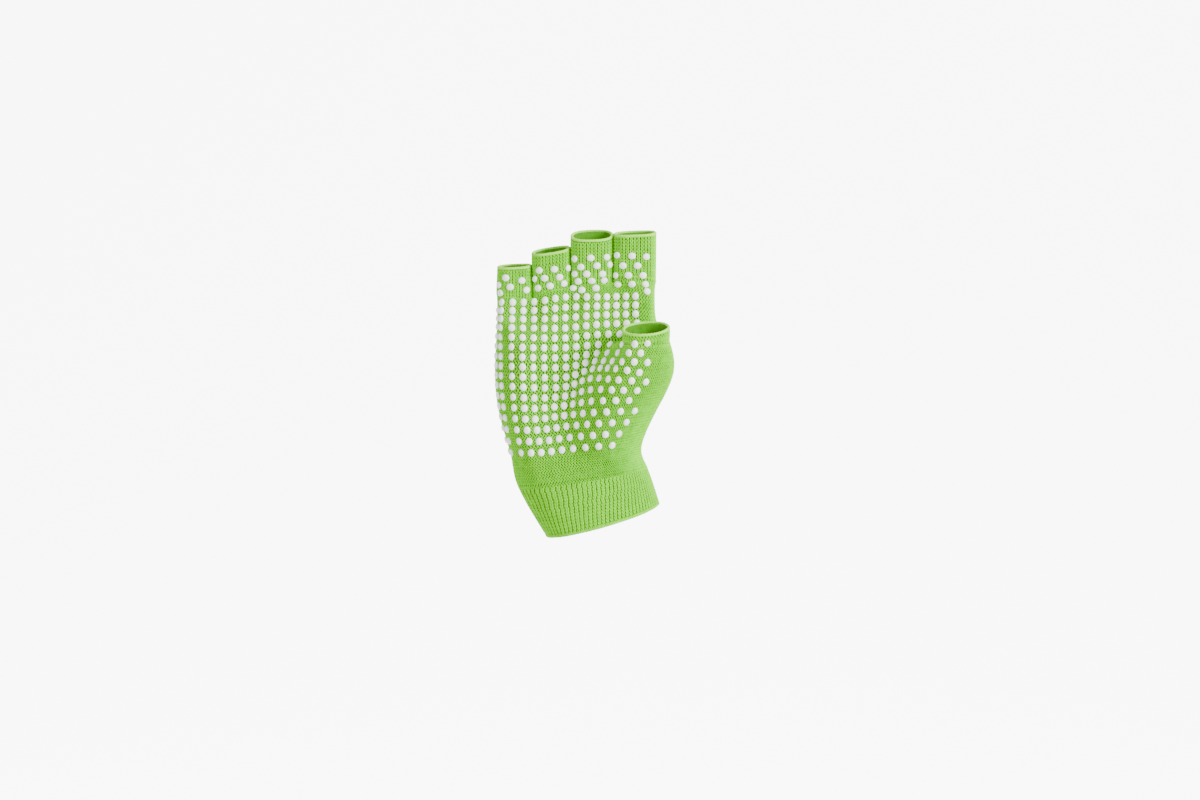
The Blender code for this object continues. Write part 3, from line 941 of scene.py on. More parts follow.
def add_noise(
    place: bpy.types.NodeSocket, scale: float, detail: float, roughness: float = 0.5
) -> bpy.types.NodeSocket:
    """Adds a cloudy pattern.

    Args:
        place: The socket that gives the place.
        scale: How many of its clouds go to a metre.
        detail: How many finer layers it has.
        roughness: How strong they are.

    Returns:
        The socket that gives its value.
    """
    settings = {"inputs": {"Scale": scale, "Detail": detail, "Roughness": roughness}}
    return add_node(place.id_data, "ShaderNodeTexNoise", settings, {"Vector": place}).outputs["Fac"]


def add_ramp(value: bpy.types.NodeSocket, stops: dict[float, str]) -> bpy.types.NodeSocket:
    """Adds a ramp of colours over a value.

    Args:
        value: The socket that gives the value.
        stops: The sRGB colours by the value that they belong to.

    Returns:
        The socket that gives the colour.
    """
    ramp = add_node(value.id_data, "ShaderNodeValToRGB", {}, {"Fac": value})
    elements = ramp.color_ramp.elements
    elements[0].position, elements[1].position = min(stops), max(stops)
    for stop in sorted(stops)[1:-1]:
        elements.new(stop)
    for element, stop in zip(elements, sorted(stops)):
        element.color = srgb(stops[stop])
    return ramp.outputs["Color"]


def add_bump(height: bpy.types.NodeSocket, strength: float, depth: float) -> bpy.types.NodeSocket:
    """Adds bump, and gives the socket of the normal that it bends."""
    settings = {"inputs": {"Strength": strength, "Distance": depth}}
    return add_node(height.id_data, "ShaderNodeBump", settings, {"Height": height}).outputs["Normal"]


@dataclass(frozen=True)
class YarnFinish:
    """Matt knitted yarn of polyester and cotton.

    Its colour drifts a little from place to place and its fibres break up the light, which makes it look
    dull and soft, with no shine. The fibres are drawn about ten times coarser than real ones, which would
    be too fine to see.
    """

    name: str
    base: str
    light: str
    dark: str
    fibre_mm: float = 0.24
    patch_mm: float = 3.0
    fibre_share: float = 0.55
    stops: tuple[float, float, float] = (0.36, 0.5, 0.66)
    relief: float = 0.9
    relief_depth: float = 0.0002

    def material(self) -> bpy.types.Material:
        """Builds the yarn's material."""
        material, shader, place = new_material(self.name)
        tree = material.node_tree
        patch = add_noise(place, 1000 / self.patch_mm, 3.0, 0.6)
        fibre = add_noise(place, 1000 / self.fibre_mm, 4.0, 0.7)
        settings = {"data_type": "FLOAT", "inputs": {0: self.fibre_share}}
        both = add_node(tree, "ShaderNodeMix", settings, {2: patch, 3: fibre}).outputs[0]
        colour = add_ramp(both, dict(zip(self.stops, (self.dark, self.base, self.light))))
        tree.links.new(colour, shader.inputs["Base Color"])
        tree.links.new(add_bump(fibre, self.relief, self.relief_depth), shader.inputs["Normal"])
        shader.inputs["Roughness"].default_value = 0.92
        shader.inputs["IOR"].default_value = 1.53
        shader.inputs["Specular IOR Level"].default_value = 0.15
        shader.inputs["Sheen Weight"].default_value = 0.08
        shader.inputs["Sheen Roughness"].default_value = 0.5
        shader.inputs["Sheen Tint"].default_value = srgb(self.light)
        return material


@dataclass(frozen=True)
class DotFinish:
    """Printed PVC plastisol.

    It is off-white and slightly uneven, with a dull, faintly waxy look, and lets a little light in.
    """

    name: str = "printed_pvc_dots"
    base: str = "FAF9F7"
    low: str = "EAE7E6"
    mottle_mm: float = 1000 / 420
    stops: tuple[float, float] = (0.3, 0.6)
    relief: float = 0.12
    relief_depth: float = 0.0002
    light_reach: float = 0.001

    def material(self) -> bpy.types.Material:
        """Builds the dots' material."""
        material, shader, place = new_material(self.name)
        tree = material.node_tree
        mottle = add_noise(place, 1000 / self.mottle_mm, 3.0)
        colour = add_ramp(mottle, dict(zip(self.stops, (self.low, self.base))))
        tree.links.new(colour, shader.inputs["Base Color"])
        tree.links.new(add_bump(mottle, self.relief, self.relief_depth), shader.inputs["Normal"])
        shader.inputs["Roughness"].default_value = 0.55
        shader.inputs["IOR"].default_value = 1.53
        shader.inputs["Subsurface Weight"].default_value = 0.15
        shader.inputs["Subsurface Radius"].default_value = (self.light_reach,) * 3
        return material


@dataclass(frozen=True)
class StudioFinish:
    """Seamless white background paper: matt and even, with a grain that only just shows."""

    name: str
    base: str
    glow: float
    grain_mm: float = 1000 / 600
    relief: float = 0.03
    relief_depth: float = 0.0002

    def material(self) -> bpy.types.Material:
        """Builds the paper's material."""
        material, shader, place = new_material(self.name)
        normal = add_bump(add_noise(place, 1000 / self.grain_mm, 2.0), self.relief, self.relief_depth)
        material.node_tree.links.new(normal, shader.inputs["Normal"])
        shader.inputs["Base Color"].default_value = srgb(self.base)
        shader.inputs["Roughness"].default_value = 0.95
        shader.inputs["Emission Color"].default_value = srgb(self.base)
        shader.inputs["Emission Strength"].default_value = self.glow
        return material


class RepeatTree:
    """A Geometry Nodes tree that sets one shape on each guide point of a cloud."""

    VECTORS = ("facing", "up", "extent")

    def __init__(self, name: str) -> None:
        """Starts a tree with its geometry input and output."""
        self.tree = bpy.data.node_groups.new(name, "GeometryNodeTree")
        self.tree.interface.new_socket("Geometry", in_out="INPUT", socket_type="NodeSocketGeometry")
        self.tree.interface.new_socket("Geometry", in_out="OUTPUT", socket_type="NodeSocketGeometry")
        self.sockets: dict[str, str] = {}
        self.source = self.tree.nodes.new("NodeGroupInput")
        self.result = self.tree.nodes.new("NodeGroupOutput")

    def socket(self, name: str, kind: str, value: Any = None) -> bpy.types.NodeSocket:
        """Adds a named input and gives the socket that reads it."""
        made = self.tree.interface.new_socket(name, in_out="INPUT", socket_type=kind)
        if value is not None:
            made.default_value = value
        self.sockets[name] = made.identifier
        return self.source.outputs[name]

    def ball(self, segments: int, rings: int) -> bpy.types.NodeSocket:
        """Adds a ball of radius 1."""
        settings = {"inputs": {"Segments": segments, "Rings": rings, "Radius": 1.0}}
        return add_node(self.tree, "GeometryNodeMeshUVSphere", settings, {}).outputs["Mesh"]

    def vector(self, name: str) -> bpy.types.NodeSocket:
        """Adds a reader of one of the guide points' vectors."""
        settings = {"data_type": "FLOAT_VECTOR", "inputs": {"Name": name}}
        return add_node(self.tree, "GeometryNodeInputNamedAttribute", settings, {}).outputs["Attribute"]

    def math(self, operation: str, first: Any, second: Any) -> bpy.types.NodeSocket:
        """Adds a sum or product of two values, each a number or a socket."""
        terms = {0: first, 1: second}
        links = {key: term for key, term in terms.items() if isinstance(term, bpy.types.NodeSocket)}
        numbers = {key: term for key, term in terms.items() if key not in links}
        settings = {"operation": operation, "inputs": numbers}
        return add_node(self.tree, "ShaderNodeMath", settings, links).outputs[0]

    def set_on_points(
        self, shape: bpy.types.NodeSocket, extent: bpy.types.NodeSocket, finish: bpy.types.NodeSocket
    ) -> None:
        """Sets a shape on each guide point, turned to its vectors, as real geometry with a finish.

        Args:
            shape: The shape, facing along Z with its upper end towards Y.
            extent: The scale of the shape's X, Y and Z.
            finish: The material.
        """
        tree = self.tree
        turned = add_node(
            tree, "FunctionNodeAxesToRotation", {"primary_axis": "Z", "secondary_axis": "Y"},
            {0: self.vector("facing"), 1: self.vector("up")},
        ).outputs["Rotation"]
        points = self.source.outputs["Geometry"]
        geometry = add_node(
            tree, "GeometryNodeInstanceOnPoints", {},
            {"Points": points, "Instance": shape, "Rotation": turned, "Scale": extent},
        ).outputs["Instances"]
        for kind in ("GeometryNodeRealizeInstances", "GeometryNodeSetShadeSmooth"):
            geometry = add_node(tree, kind, {}, {"Geometry": geometry}).outputs["Geometry"]
        dressed = add_node(tree, "GeometryNodeSetMaterial", {}, {"Geometry": geometry, "Material": finish})
        tree.links.new(dressed.outputs["Geometry"], self.result.inputs["Geometry"])

    def run(self, guide: bpy.types.Object, values: dict[str, Any]) -> bpy.types.Mesh:
        """Runs the tree on a guide and gives the mesh that comes of it.

        Args:
            guide: The object whose points carry the places and attributes.
            values: The named inputs' values.

        Returns:
            The plain mesh.
        """
        modifier = guide.modifiers.new(self.tree.name, "NODES")
        modifier.node_group = self.tree
        for name, value in values.items():
            modifier[self.sockets[name]] = value
        mesh = plain_mesh(guide)
        guide.modifiers.clear()
        bpy.data.objects.remove(guide, do_unlink=True)
        for name in self.VECTORS:
            if name in mesh.attributes:
                mesh.attributes.remove(mesh.attributes[name])
        return mesh


@dataclass(frozen=True)
class StitchShape:
    """A stitch's two legs: half their sizes and their places, as shares of the stitch, and their angles."""

    leg_width: float = 0.190
    leg_length: float = 0.70
    leg_depth: float = 1.0
    slant: float = 0.33
    apart: float = 0.235
    tuck: float = 0.10
    jitter: float = 0.06

    def inputs(self) -> dict[str, float]:
        """Gives the values of the tree's inputs, by their names."""
        return {name.replace("_", " ").title(): value for name, value in asdict(self).items()}


class StitchTree(RepeatTree):
    """Sets a stitch of two slanted yarn legs on each guide point."""

    SEED = 7
    SEGMENTS = 5
    RINGS = 3

    def __init__(self) -> None:
        """Builds the tree."""
        super().__init__("stitches")
        tree = self.tree
        shares = StitchShape().inputs()
        sizes = {name: self.socket(name, "NodeSocketFloat", value) for name, value in shares.items()}
        seed = self.socket("Seed", "NodeSocketInt", self.SEED)
        finish = self.socket("Finish", "NodeSocketMaterial")
        half = {"X": sizes["Leg Width"], "Y": sizes["Leg Depth"], "Z": sizes["Leg Length"]}
        scale = add_node(tree, "ShaderNodeCombineXYZ", {}, half).outputs["Vector"]
        upright = add_node(
            tree, "GeometryNodeTransform", {"inputs": {"Rotation": (-math.pi / 2, 0.0, 0.0)}},
            {"Geometry": self.ball(self.SEGMENTS, self.RINGS), "Scale": scale},
        ).outputs["Geometry"]
        stitch = tree.nodes.new("GeometryNodeJoinGeometry")
        for sign in (-1.0, 1.0):
            turn = {"X": sizes["Tuck"], "Z": self.math("MULTIPLY", sizes["Slant"], -sign)}
            place = {"X": self.math("MULTIPLY", sizes["Apart"], sign)}
            leg = add_node(
                tree, "GeometryNodeTransform", {},
                {
                    "Geometry": upright,
                    "Rotation": add_node(tree, "ShaderNodeCombineXYZ", {}, turn).outputs["Vector"],
                    "Translation": add_node(tree, "ShaderNodeCombineXYZ", {}, place).outputs["Vector"],
                },
            )
            tree.links.new(leg.outputs["Geometry"], stitch.inputs["Geometry"])
        low = self.math("SUBTRACT", 1.0, sizes["Jitter"])
        high = self.math("ADD", 1.0, sizes["Jitter"])
        spread = add_node(
            tree, "FunctionNodeRandomValue", {"data_type": "FLOAT"}, {2: low, 3: high, "Seed": seed}
        ).outputs[1]
        extent = add_node(
            tree, "ShaderNodeVectorMath", {"operation": "SCALE"}, {0: self.vector("extent"), "Scale": spread}
        ).outputs["Vector"]
        self.set_on_points(stitch.outputs["Geometry"], extent, finish)


def guide_points(name: str, places: np.ndarray, vectors: dict[str, np.ndarray]) -> bpy.types.Object:
    """Makes a cloud of guide points that carry vectors.

    Args:
        name: The guide's name.
        places: The points.
        vectors: For each attribute's name, one vector a point.

    Returns:
        The guide.
    """
    mesh = mesh_from(name, places, [])
    for key, rows in vectors.items():
        layer = mesh.attributes.new(key, "FLOAT_VECTOR", "POINT")
        layer.data.foreach_set("vector", np.asarray(rows, dtype=float).ravel())
    return show(name, mesh)


@dataclass
class KnitGlove:
    """The knitted walls and their stitches, a piece for each of the glove's tubes.

    The hand's stitches are two pieces, palm and back, which keeps each within its share of triangles.
    """

    surface: KnitSurface
    joins: Sequence[float]
    middles: dict[Tube, float]
    course_height: float = 0.00145
    hand_wales: int = 140
    palm_wales: int = 120
    finger_wales: int = 36
    thumb_wales: int = 42
    cuff_wales: int = 74
    wall: float = 0.0006
    wall_sink: float = 0.0006
    leg_depth: float = 0.00042
    leg_sink: float = 0.00022
    lattice: StitchShape = StitchShape(leg_width=0.162, slant=0.34)
    open_wales: StitchShape = StitchShape(leg_width=0.185, slant=0.22, apart=0.200)

    def __post_init__(self) -> None:
        """Finds the courses and makes the stitches' tree."""
        counts = dict.fromkeys(FINGER_TUBES, self.finger_wales)
        counts[Tube.CUFF], counts[Tube.THUMB] = self.cuff_wales, self.thumb_wales
        counts[Tube.HAND], counts[Tube.PALM] = self.hand_wales, self.palm_wales
        self.courses = self.surface.courses(self.course_height, counts, self.middles, self.joins)
        self.tree = StitchTree()

    def build(self, finish: YarnFinish, shade_gap_finish: YarnFinish) -> None:
        """Builds and dresses every wall and field of stitches above the cuff.

        Args:
            finish: The stitches' finish.
            shade_gap_finish: The finish of the wall that shows between them, a darker green that paints the
                shade between the stitches.
        """
        yarn, shade_gap = finish.material(), shade_gap_finish.material()
        hand = (Tube.HAND, Tube.PALM)
        # The walls get a darker green than the stitches: painted shade that shows between them.
        self.add_wall("hand", hand, shade_gap, Slot.KNIT)
        for side in (Side.PALM, Side.BACK):
            name = f"hand_{side.value}_stitches"
            self.add_stitches(name, "hand", hand, yarn, Slot.KNIT, self.lattice, side)
        for tube in (*FINGER_TUBES, Tube.THUMB):
            node = tube.value + "_stall"
            self.add_wall(node, (tube,), shade_gap, Slot.KNIT)
            self.add_stitches(node + "_stitches", node, (tube,), yarn, Slot.KNIT, self.open_wales)

    def add_wall(self, node: str, tubes: Sequence[Tube], finish: bpy.types.Material, slot: Slot) -> None:
        """Builds and dresses the wall behind a CAD node's stitches."""
        finish_piece(self.surface.part(node + "_wall", tubes, self.wall_sink, self.wall), finish, [node])

    def add_stitches(
        self, name: str, node: str, tubes: Sequence[Tube], yarn: bpy.types.Material, slot: Slot,
        shape: StitchShape, side: Side = Side.BOTH,
    ) -> None:
        """Sets stitches along the courses of some tubes.

        Args:
            name: The piece's name.
            node: The CAD node that they stand for.
            tubes: The tubes.
            yarn: The stitches' material.
            slot: Not used.
            shape: The stitches' shape.
            side: The side of the hand that they cover.
        """
        rows = [course for tube in tubes for course in self.courses[tube]]
        places = np.vstack([row.places for row in rows])
        normals = np.vstack([row.normals for row in rows])
        ups = np.vstack([row.ups for row in rows])
        widths = np.concatenate([row.widths for row in rows])
        heights = np.concatenate([row.heights for row in rows])
        extent = np.stack([widths, heights, np.full(len(widths), self.leg_depth)], axis=1)
        on_palm = normals[:, 1] < 0
        kept = {Side.PALM: on_palm, Side.BACK: ~on_palm, Side.BOTH: np.full(len(places), True)}[side]
        vectors = {"facing": normals[kept], "up": ups[kept], "extent": extent[kept]}
        guide = guide_points(name + "_guide", places[kept] - normals[kept] * self.leg_sink, vectors)
        mesh = self.tree.run(guide, {"Finish": yarn, **shape.inputs()})
        finish_piece(show(name, mesh), yarn, [node])


@dataclass
class RibCuff:
    """The ribbed cuff: a wall with soft upright ribs of narrow, steep stitches, and its lip."""

    knit: KnitGlove
    finish: YarnFinish
    # The wall's darker green paints the shade in the grooves between the ribs.
    shade_gap_finish: YarnFinish
    ribs: StitchShape = StitchShape(leg_width=0.265, leg_depth=0.85, slant=0.14, apart=0.175)
    lip_core: float = 0.00075
    lip_loop: float = 0.0021
    lip_inset: float = 0.0006
    lip_out: float = 0.0004

    def build(self) -> None:
        """Builds and dresses the cuff."""
        yarn, shade_gap = self.finish.material(), self.shade_gap_finish.material()
        self.knit.add_wall("rib_cuff", (Tube.CUFF,), shade_gap, Slot.RIB)
        self.knit.add_stitches("rib_cuff_stitches", "rib_cuff", (Tube.CUFF,), yarn, Slot.RIB, self.ribs)
        lip = RolledEdge(
            self.knit.surface, self.knit.tree,
            core=self.lip_core, loop_width=self.lip_loop, inset=self.lip_inset, out=self.lip_out,
        )
        lip.build("rib_cuff_lip", (0.0, 0.0, 0.0), yarn, Slot.RIB, "rib_cuff")


def cord_mesh(
    name: str, middle: np.ndarray, sides: np.ndarray, outs: np.ndarray, radius: float, corners: int
) -> bpy.types.Mesh:
    """Makes a closed cord along a loop.

    Args:
        name: The mesh's name.
        middle: The loop's points.
        sides: The direction across the cord at each point.
        outs: The other direction across it.
        radius: Its radius.
        corners: The corners of its section.

    Returns:
        The cord.
    """
    turns = 2 * math.pi * np.arange(corners) / corners
    ring = np.cos(turns)[None, :, None] * sides[:, None, :] + np.sin(turns)[None, :, None] * outs[:, None, :]
    points = (middle[:, None, :] + radius * ring).reshape(-1, 3)
    faces = []
    for i in range(len(middle)):
        low, high = i * corners, (i + 1) % len(middle) * corners
        for k in range(corners):
            after = (k + 1) % corners
            faces.append((low + k, low + after, high + after, high + k))
    return mesh_from(name, points, faces)


def joined(name: str, meshes: Sequence[bpy.types.Mesh]) -> bpy.types.Mesh:
    """Joins meshes into one, with outward faces and smooth shading."""
    whole = bmesh.new()
    for mesh in meshes:
        whole.from_mesh(mesh)
    bmesh.ops.recalc_face_normals(whole, faces=whole.faces)
    mesh = bpy.data.meshes.new(name)
    whole.to_mesh(mesh)
    whole.free()
    mesh.shade_smooth()
    return mesh


@dataclass
class RolledEdge:
    """The rolled edge of a mouth: a soft cord with a slanted loop of yarn at each wale."""

    surface: KnitSurface
    tree: StitchTree
    core: float = 0.00062
    core_corners: int = 8
    loop_width: float = 0.0015
    loop_overlap: float = 1.1
    loop_height: float = 0.00150
    loop_depth: float = 0.00082
    inset: float = 0.00055
    out: float = 0.00045
    shape: StitchShape = StitchShape(leg_width=0.26, leg_length=0.60, slant=0.35)

    def build(self, name: str, centre: Point, finish: bpy.types.Material, slot: Slot, node: str) -> None:
        """Builds and dresses one rolled edge.

        Args:
            name: The piece's name.
            centre: The centre of its mouth.
            finish: Its material.
            slot: Not used.
            node: The CAD node that it stands for.
        """
        rims = self.surface.rims()
        rim = min(rims, key=lambda rows: np.linalg.norm(rows[:, :3].mean(axis=0) - np.array(centre)))
        middle = rim[:, :3] - rim[:, 3:6] * self.inset + rim[:, 6:9] * self.out
        cord = cord_mesh(name + "_core", middle, rim[:, 3:6], rim[:, 6:9], self.core, self.core_corners)
        rows, along = closed_line(np.hstack([middle, rim[:, 3:9]]))
        count = int(round(along[-1] / self.loop_width))
        found = read_line(rows, along, np.arange(count) / count * along[-1])
        extent = np.tile((self.loop_width * self.loop_overlap, self.loop_height, self.loop_depth), (count, 1))
        vectors = {"facing": unit(found[:, 3:6]), "up": unit(found[:, 6:9]), "extent": extent}
        guide = guide_points(name + "_guide", found[:, :3], vectors)
        loops = self.tree.run(guide, {"Finish": finish, **self.shape.inputs()})
        finish_piece(show(name, joined(name, [cord, loops])), finish, [node])


class DropTree(RepeatTree):
    """Sets a low round drop on each guide point."""

    SEGMENTS = 16
    RINGS = 8

    def __init__(self) -> None:
        """Builds the tree."""
        super().__init__("drops")
        finish = self.socket("Finish", "NodeSocketMaterial")
        self.set_on_points(self.ball(self.SEGMENTS, self.RINGS), self.vector("extent"), finish)


@dataclass
class GripDots:
    """The raised dots on the palm, the thumb and the fingers."""

    form: GloveForm
    surface: KnitSurface
    eye: Point
    width: float = 0.0034
    length: float = 0.0038
    height: float = 0.00105
    rim_gap: float = 0.0002
    side_pitch: float = 0.0050
    side_rows: int = 15
    lines: tuple[DotLine, ...] = (
        DotLine(0, 0.00585, -0.165, (-0.254, 0.215)),
        DotLine(0, 0.01010, -0.185, (-0.452, -0.129, 0.348)),
        DotLine(0, 0.01420, -0.220, (-0.413, -0.013, 0.458)),
        DotLine(1, 0.00875, 0.080, (-0.306, 0.087, 0.448)),
        DotLine(1, 0.01290, 0.070, (-0.420, -0.170, 0.224)),
        DotLine(1, 0.01690, 0.170, (-0.339, -0.027, 0.339)),
        DotLine(1, 0.02045, 0.225, (-0.213, 0.082, 0.404, 0.579)),
        DotLine(1, 0.02290, 0.000, (-0.430,)),
        DotLine(2, 0.01050, 0.050, (-0.410, -0.030, 0.351)),
        DotLine(2, 0.01460, 0.080, (-0.262, 0.119, 0.420)),
        DotLine(2, 0.01850, 0.000, (-0.406, -0.124, 0.248)),
        DotLine(2, 0.02200, 0.030, (-0.322, -0.005, 0.287)),
        DotLine(2, 0.02580, 0.130, (-0.238, 0.094, 0.347)),
        DotLine(3, 0.01060, -0.050, (-0.411, -0.065, 0.271)),
        DotLine(3, 0.01540, 0.000, (-0.276, 0.065)),
        DotLine(3, 0.02020, 0.000, (-0.440, -0.150, 0.192)),
        DotLine(3, 0.02460, 0.000, (-0.393, -0.065, 0.252)),
        DotLine(3, 0.02820, 0.000, (-0.300, 0.005, 0.290)),
    )
    columns: tuple[int, ...] = (0, 3, 6, 9, 12, 14)
    last_column: tuple[int, ...] = (9, 10, 11, 12, 12, 13, 14, 14, 14, 13, 13, 12, 13, 13, 13, 13)
    rows: tuple[DotRow, ...] = (
        DotRow(0, 0.089, 0.304, 0.277, 0.304, 0.480, 0.322, 0.728, 0.336, 0.990, 0.345, 1.160, 0.350),
        DotRow(3, 0.049, 0.460, 0.240, 0.454, 0.424, 0.470, 0.612, 0.484, 0.871, 0.491, 1.050, 0.497),
        DotRow(6, 0.028, 0.604, 0.232, 0.595, 0.435, 0.600, 0.591, 0.636, 0.769, 0.630, 0.942, 0.621),
        DotRow(7, 0.025, 0.649, 0.230, 0.641, 0.436, 0.643, 0.605, 0.679, 0.753, 0.680, 0.900, 0.663),
        DotRow(8, 0.024, 0.693, 0.228, 0.686, 0.435, 0.687, 0.619, 0.714, 0.792, 0.712, 0.951, 0.708),
        DotRow(9, 0.023, 0.736, 0.227, 0.730, 0.434, 0.730, 0.631, 0.749, 0.834, 0.751, 0.985, 0.748),
        DotRow(10, 0.022, 0.780, 0.228, 0.774, 0.433, 0.774, 0.640, 0.788, 0.871, 0.790, 1.035, 0.797),
        DotRow(12, 0.022, 0.865, 0.232, 0.861, 0.430, 0.862, 0.629, 0.877, 0.820, 0.882, 0.950, 0.884),
        DotRow(15, 0.029, 0.977, 0.236, 0.979, 0.434, 1.000, 0.632, 1.000, 0.815, 1.003, 0.935, 1.005),
    )

    def palm_rows(self) -> list[list[tuple[float, float]]]:
        """Gives the x and z of the palm's dots, in rows from the wrist up."""
        numbers = [line.row for line in self.rows]
        rows = []
        for row, last in enumerate(self.last_column):
            keys = range(len(self.columns))
            xs = [between_rows([line[1 + 2 * k] for line in self.rows], numbers, row) for k in keys]
            zs = [between_rows([line[2 + 2 * k] for line in self.rows], numbers, row) for k in keys]
            places = []
            for column in range(last + 1):
                x = self.form.little_side + self.form.base_width * between_rows(xs, self.columns, column)
                places.append((x, self.form.base_height * between_rows(zs, self.columns, column)))
            rows.append(places)
        return rows

    def finger_places(self) -> list[tuple[float, float]]:
        """Gives the x and z of the fingers' dots."""
        places = []
        for line in self.lines:
            (x, _, top), width = self.form.finger_mouth(line.finger)
            for share in line.shares:
                places.append((x + share * width, top - line.drop + share * width * line.slope))
        return places

    def build(self, finish: DotFinish) -> None:
        """Builds and dresses the dots.

        Args:
            finish: Their finish.
        """
        tree = self.surface.tree()
        ends = np.vstack([rim[:, :3] for rim in self.surface.rims()])
        eye = Vector(self.eye)
        rows = self.palm_rows()
        kept: list[tuple[Vector, Vector, bool]] = []
        seen = [(place, True) for row in rows for place in row]
        seen += [(place, False) for place in self.finger_places()]
        for (x, z), on_palm in seen:
            hit, normal, _, _ = tree.ray_cast(eye, (Vector((x, 0.0, z)) - eye).normalized())
            if hit is None:
                continue
            to_rim = np.linalg.norm(ends - np.array(hit), axis=1).min()
            on_surface = to_rim >= self.length / 2 + self.rim_gap
            if on_surface and all((hit - other).length > self.width for other, _, _ in kept):
                kept.append((hit, normal, on_palm))
        for row in rows[: self.side_rows]:
            x, z = row[0]
            hit, normal, _, _ = tree.ray_cast(eye, (Vector((x, 0.0, z)) - eye).normalized())
            side = normal.cross(Vector((0.0, 0.0, 1.0))).normalized()
            hit, normal, _, _ = tree.find_nearest(hit + side * self.side_pitch)
            kept.append((hit, normal, True))
        normals = np.array([tuple(normal) for _, normal, _ in kept])
        tall = (self.width / 2, self.length / 2, self.height)
        wide = (self.length / 2, self.width / 2, self.height)
        extent = np.array([tall if on_palm else wide for _, _, on_palm in kept])
        ups = np.tile((0.0, 0.0, 1.0), (len(kept), 1))
        places = np.array([tuple(place) for place, _, _ in kept])
        guide = guide_points("grip_dots_guide", places, {"facing": normals, "up": ups, "extent": extent})
        material = finish.material()
        mesh = DropTree().run(guide, {"Finish": material})
        finish_piece(show("grip_dots", mesh), material, ["hand"])
        LOG.info("%d grip dots", len(kept))


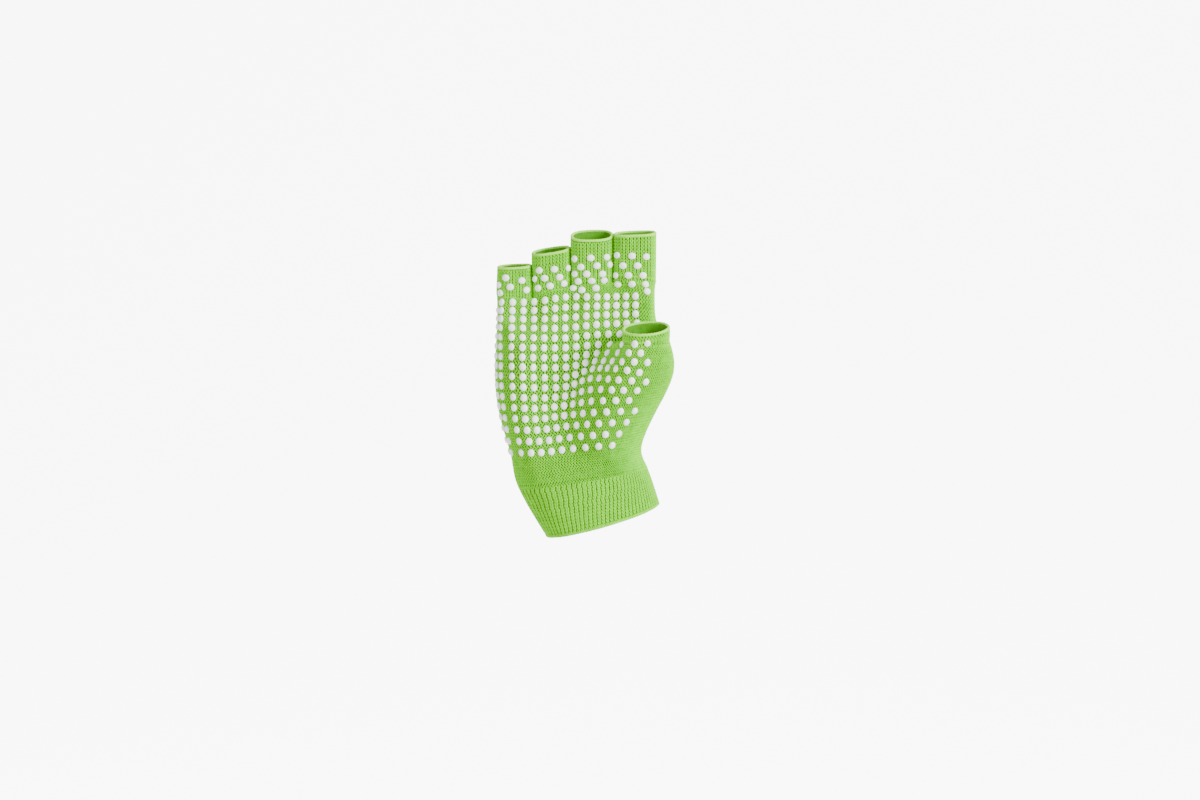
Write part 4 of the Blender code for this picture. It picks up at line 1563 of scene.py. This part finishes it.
@dataclass
class Studio:
    """The white floor, the soft lights and the camera."""

    target: Point = (-0.0015, 0.0, 0.0605)
    distance: float = 1.417
    elevation: float = math.radians(5.0)
    lens: float = 85.0
    floor_height: float = -0.62
    floor_radius: float = 4.0
    floor_sides: int = 96
    sheet_y: float = 1.9
    sheet_width: float = 2.2
    sheet_height: float = 1.5
    tent_light: float = 1.15
    lights: tuple[Softbox, ...] = (
        Softbox("key", (1.25, -0.85, 0.75), 0.6, 70.0),
        Softbox("fill", (-1.0, -1.3, 0.5), 1.2, 10.0),
    )
    floor_finish: StudioFinish = StudioFinish("pale_floor_paper", "F0F0F0", 0.0)
    sheet_finish: StudioFinish = StudioFinish("lit_background_paper", "F8F8F8", 7.0)

    def eye(self) -> Point:
        """Gives the camera's place."""
        x, y, z = self.target
        out, up = self.distance * math.cos(self.elevation), self.distance * math.sin(self.elevation)
        return (x, y - out, z + up)

    def build(self) -> None:
        """Sets up the floor, the lights and the camera."""
        self.build_floor()
        self.build_sheet()
        for softbox in self.lights:
            self.add_light(softbox)
        world = bpy.data.worlds.new("white_tent")
        world.use_nodes = True
        background = world.node_tree.nodes["Background"]
        background.inputs["Color"].default_value = (1.0, 1.0, 1.0, 1.0)
        background.inputs["Strength"].default_value = self.tent_light
        bpy.context.scene.world = world
        data = bpy.data.cameras.new("camera")
        data.lens = self.lens
        data.clip_start = 0.01
        camera = bpy.data.objects.new("camera", data)
        camera.location = self.eye()
        camera.rotation_euler = (Vector(self.target) - camera.location).to_track_quat("-Z", "Y").to_euler()
        bpy.context.scene.collection.objects.link(camera)
        bpy.context.scene.camera = camera

    def build_floor(self) -> None:
        """Builds the round floor."""
        rim = [2 * math.pi * side / self.floor_sides for side in range(self.floor_sides)]
        radius, height = self.floor_radius, self.floor_height
        points = [(radius * math.cos(angle), radius * math.sin(angle), height) for angle in rim]
        disc = mesh_from("studio_floor", np.array(points), [tuple(range(self.floor_sides))])
        floor = show("studio_floor", disc)
        floor.data.materials.append(self.floor_finish.material())

    def build_sheet(self) -> None:
        """Builds the lit sheet of paper far behind the glove."""
        half = self.sheet_width / 2
        middle = self.target[2] - self.sheet_y * math.tan(self.elevation)
        low, high = middle - self.sheet_height / 2, middle + self.sheet_height / 2
        points = [(half, self.sheet_y, low), (half, self.sheet_y, high)]
        points += [(-half, self.sheet_y, high), (-half, self.sheet_y, low)]
        sheet = show("studio_backdrop", mesh_from("studio_backdrop", np.array(points), [(3, 0, 1, 2)]))
        sheet.data.materials.append(self.sheet_finish.material())

    def add_light(self, softbox: Softbox) -> None:
        """Adds a soft square light that faces the glove."""
        data = bpy.data.lights.new(softbox.name, "AREA")
        data.size = softbox.size
        data.energy = softbox.power
        light = bpy.data.objects.new(softbox.name, data)
        light.location = softbox.place
        towards = Vector(self.target) - Vector(softbox.place)
        light.rotation_euler = towards.to_track_quat("-Z", "Y").to_euler()
        bpy.context.scene.collection.objects.link(light)


def main() -> None:
    """Builds the glove's pieces in order, then the studio."""
    logging.basicConfig(level=logging.INFO, format="%(name)s: %(message)s")
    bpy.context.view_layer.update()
    form = GloveForm()
    surface = KnitSurface(form.surface(3))
    knit = KnitGlove(surface, form.joins, form.middles())
    yarn = YarnFinish("knitted_green_yarn", "7ADA10", "8AE420", "66C408")
    # A darker green for the walls: painted shade that shows between the stitches.
    shade_gap = YarnFinish("knit_painted_shade_green_yarn", "3C7C06", "488A0C", "326C04")
    knit.build(yarn, shade_gap)
    ribbed = YarnFinish("ribbed_green_yarn", "70CA0A", "7CD418", "60B806")
    # A darker green for the cuff's wall: painted shade in the grooves between the ribs.
    rib_shade_gap = YarnFinish("rib_painted_shade_green_yarn", "58A00C", "64B014", "4E9208")
    RibCuff(knit, ribbed, rib_shade_gap).build()
    mouths = {Tube.THUMB: (form.thumb_x, form.thumb_y, form.web_height + form.thumb_reach)}
    for i, finger in enumerate(form.fingers):
        mouths[finger.tube] = form.finger_mouth(i)[0]
    edge = YarnFinish("rolled_edge_yarn", "9CE448", "ACEC62", "8CD834").material()
    for tube, centre in mouths.items():
        name = tube.value + "_edge_loops"
        RolledEdge(surface, knit.tree).build(name, centre, edge, Slot.EDGE, tube.value + "_rolled_edge")
    studio = Studio()
    GripDots(form, surface, studio.eye()).build(DotFinish())
    studio.build()


if __name__ == "__main__":
    main()
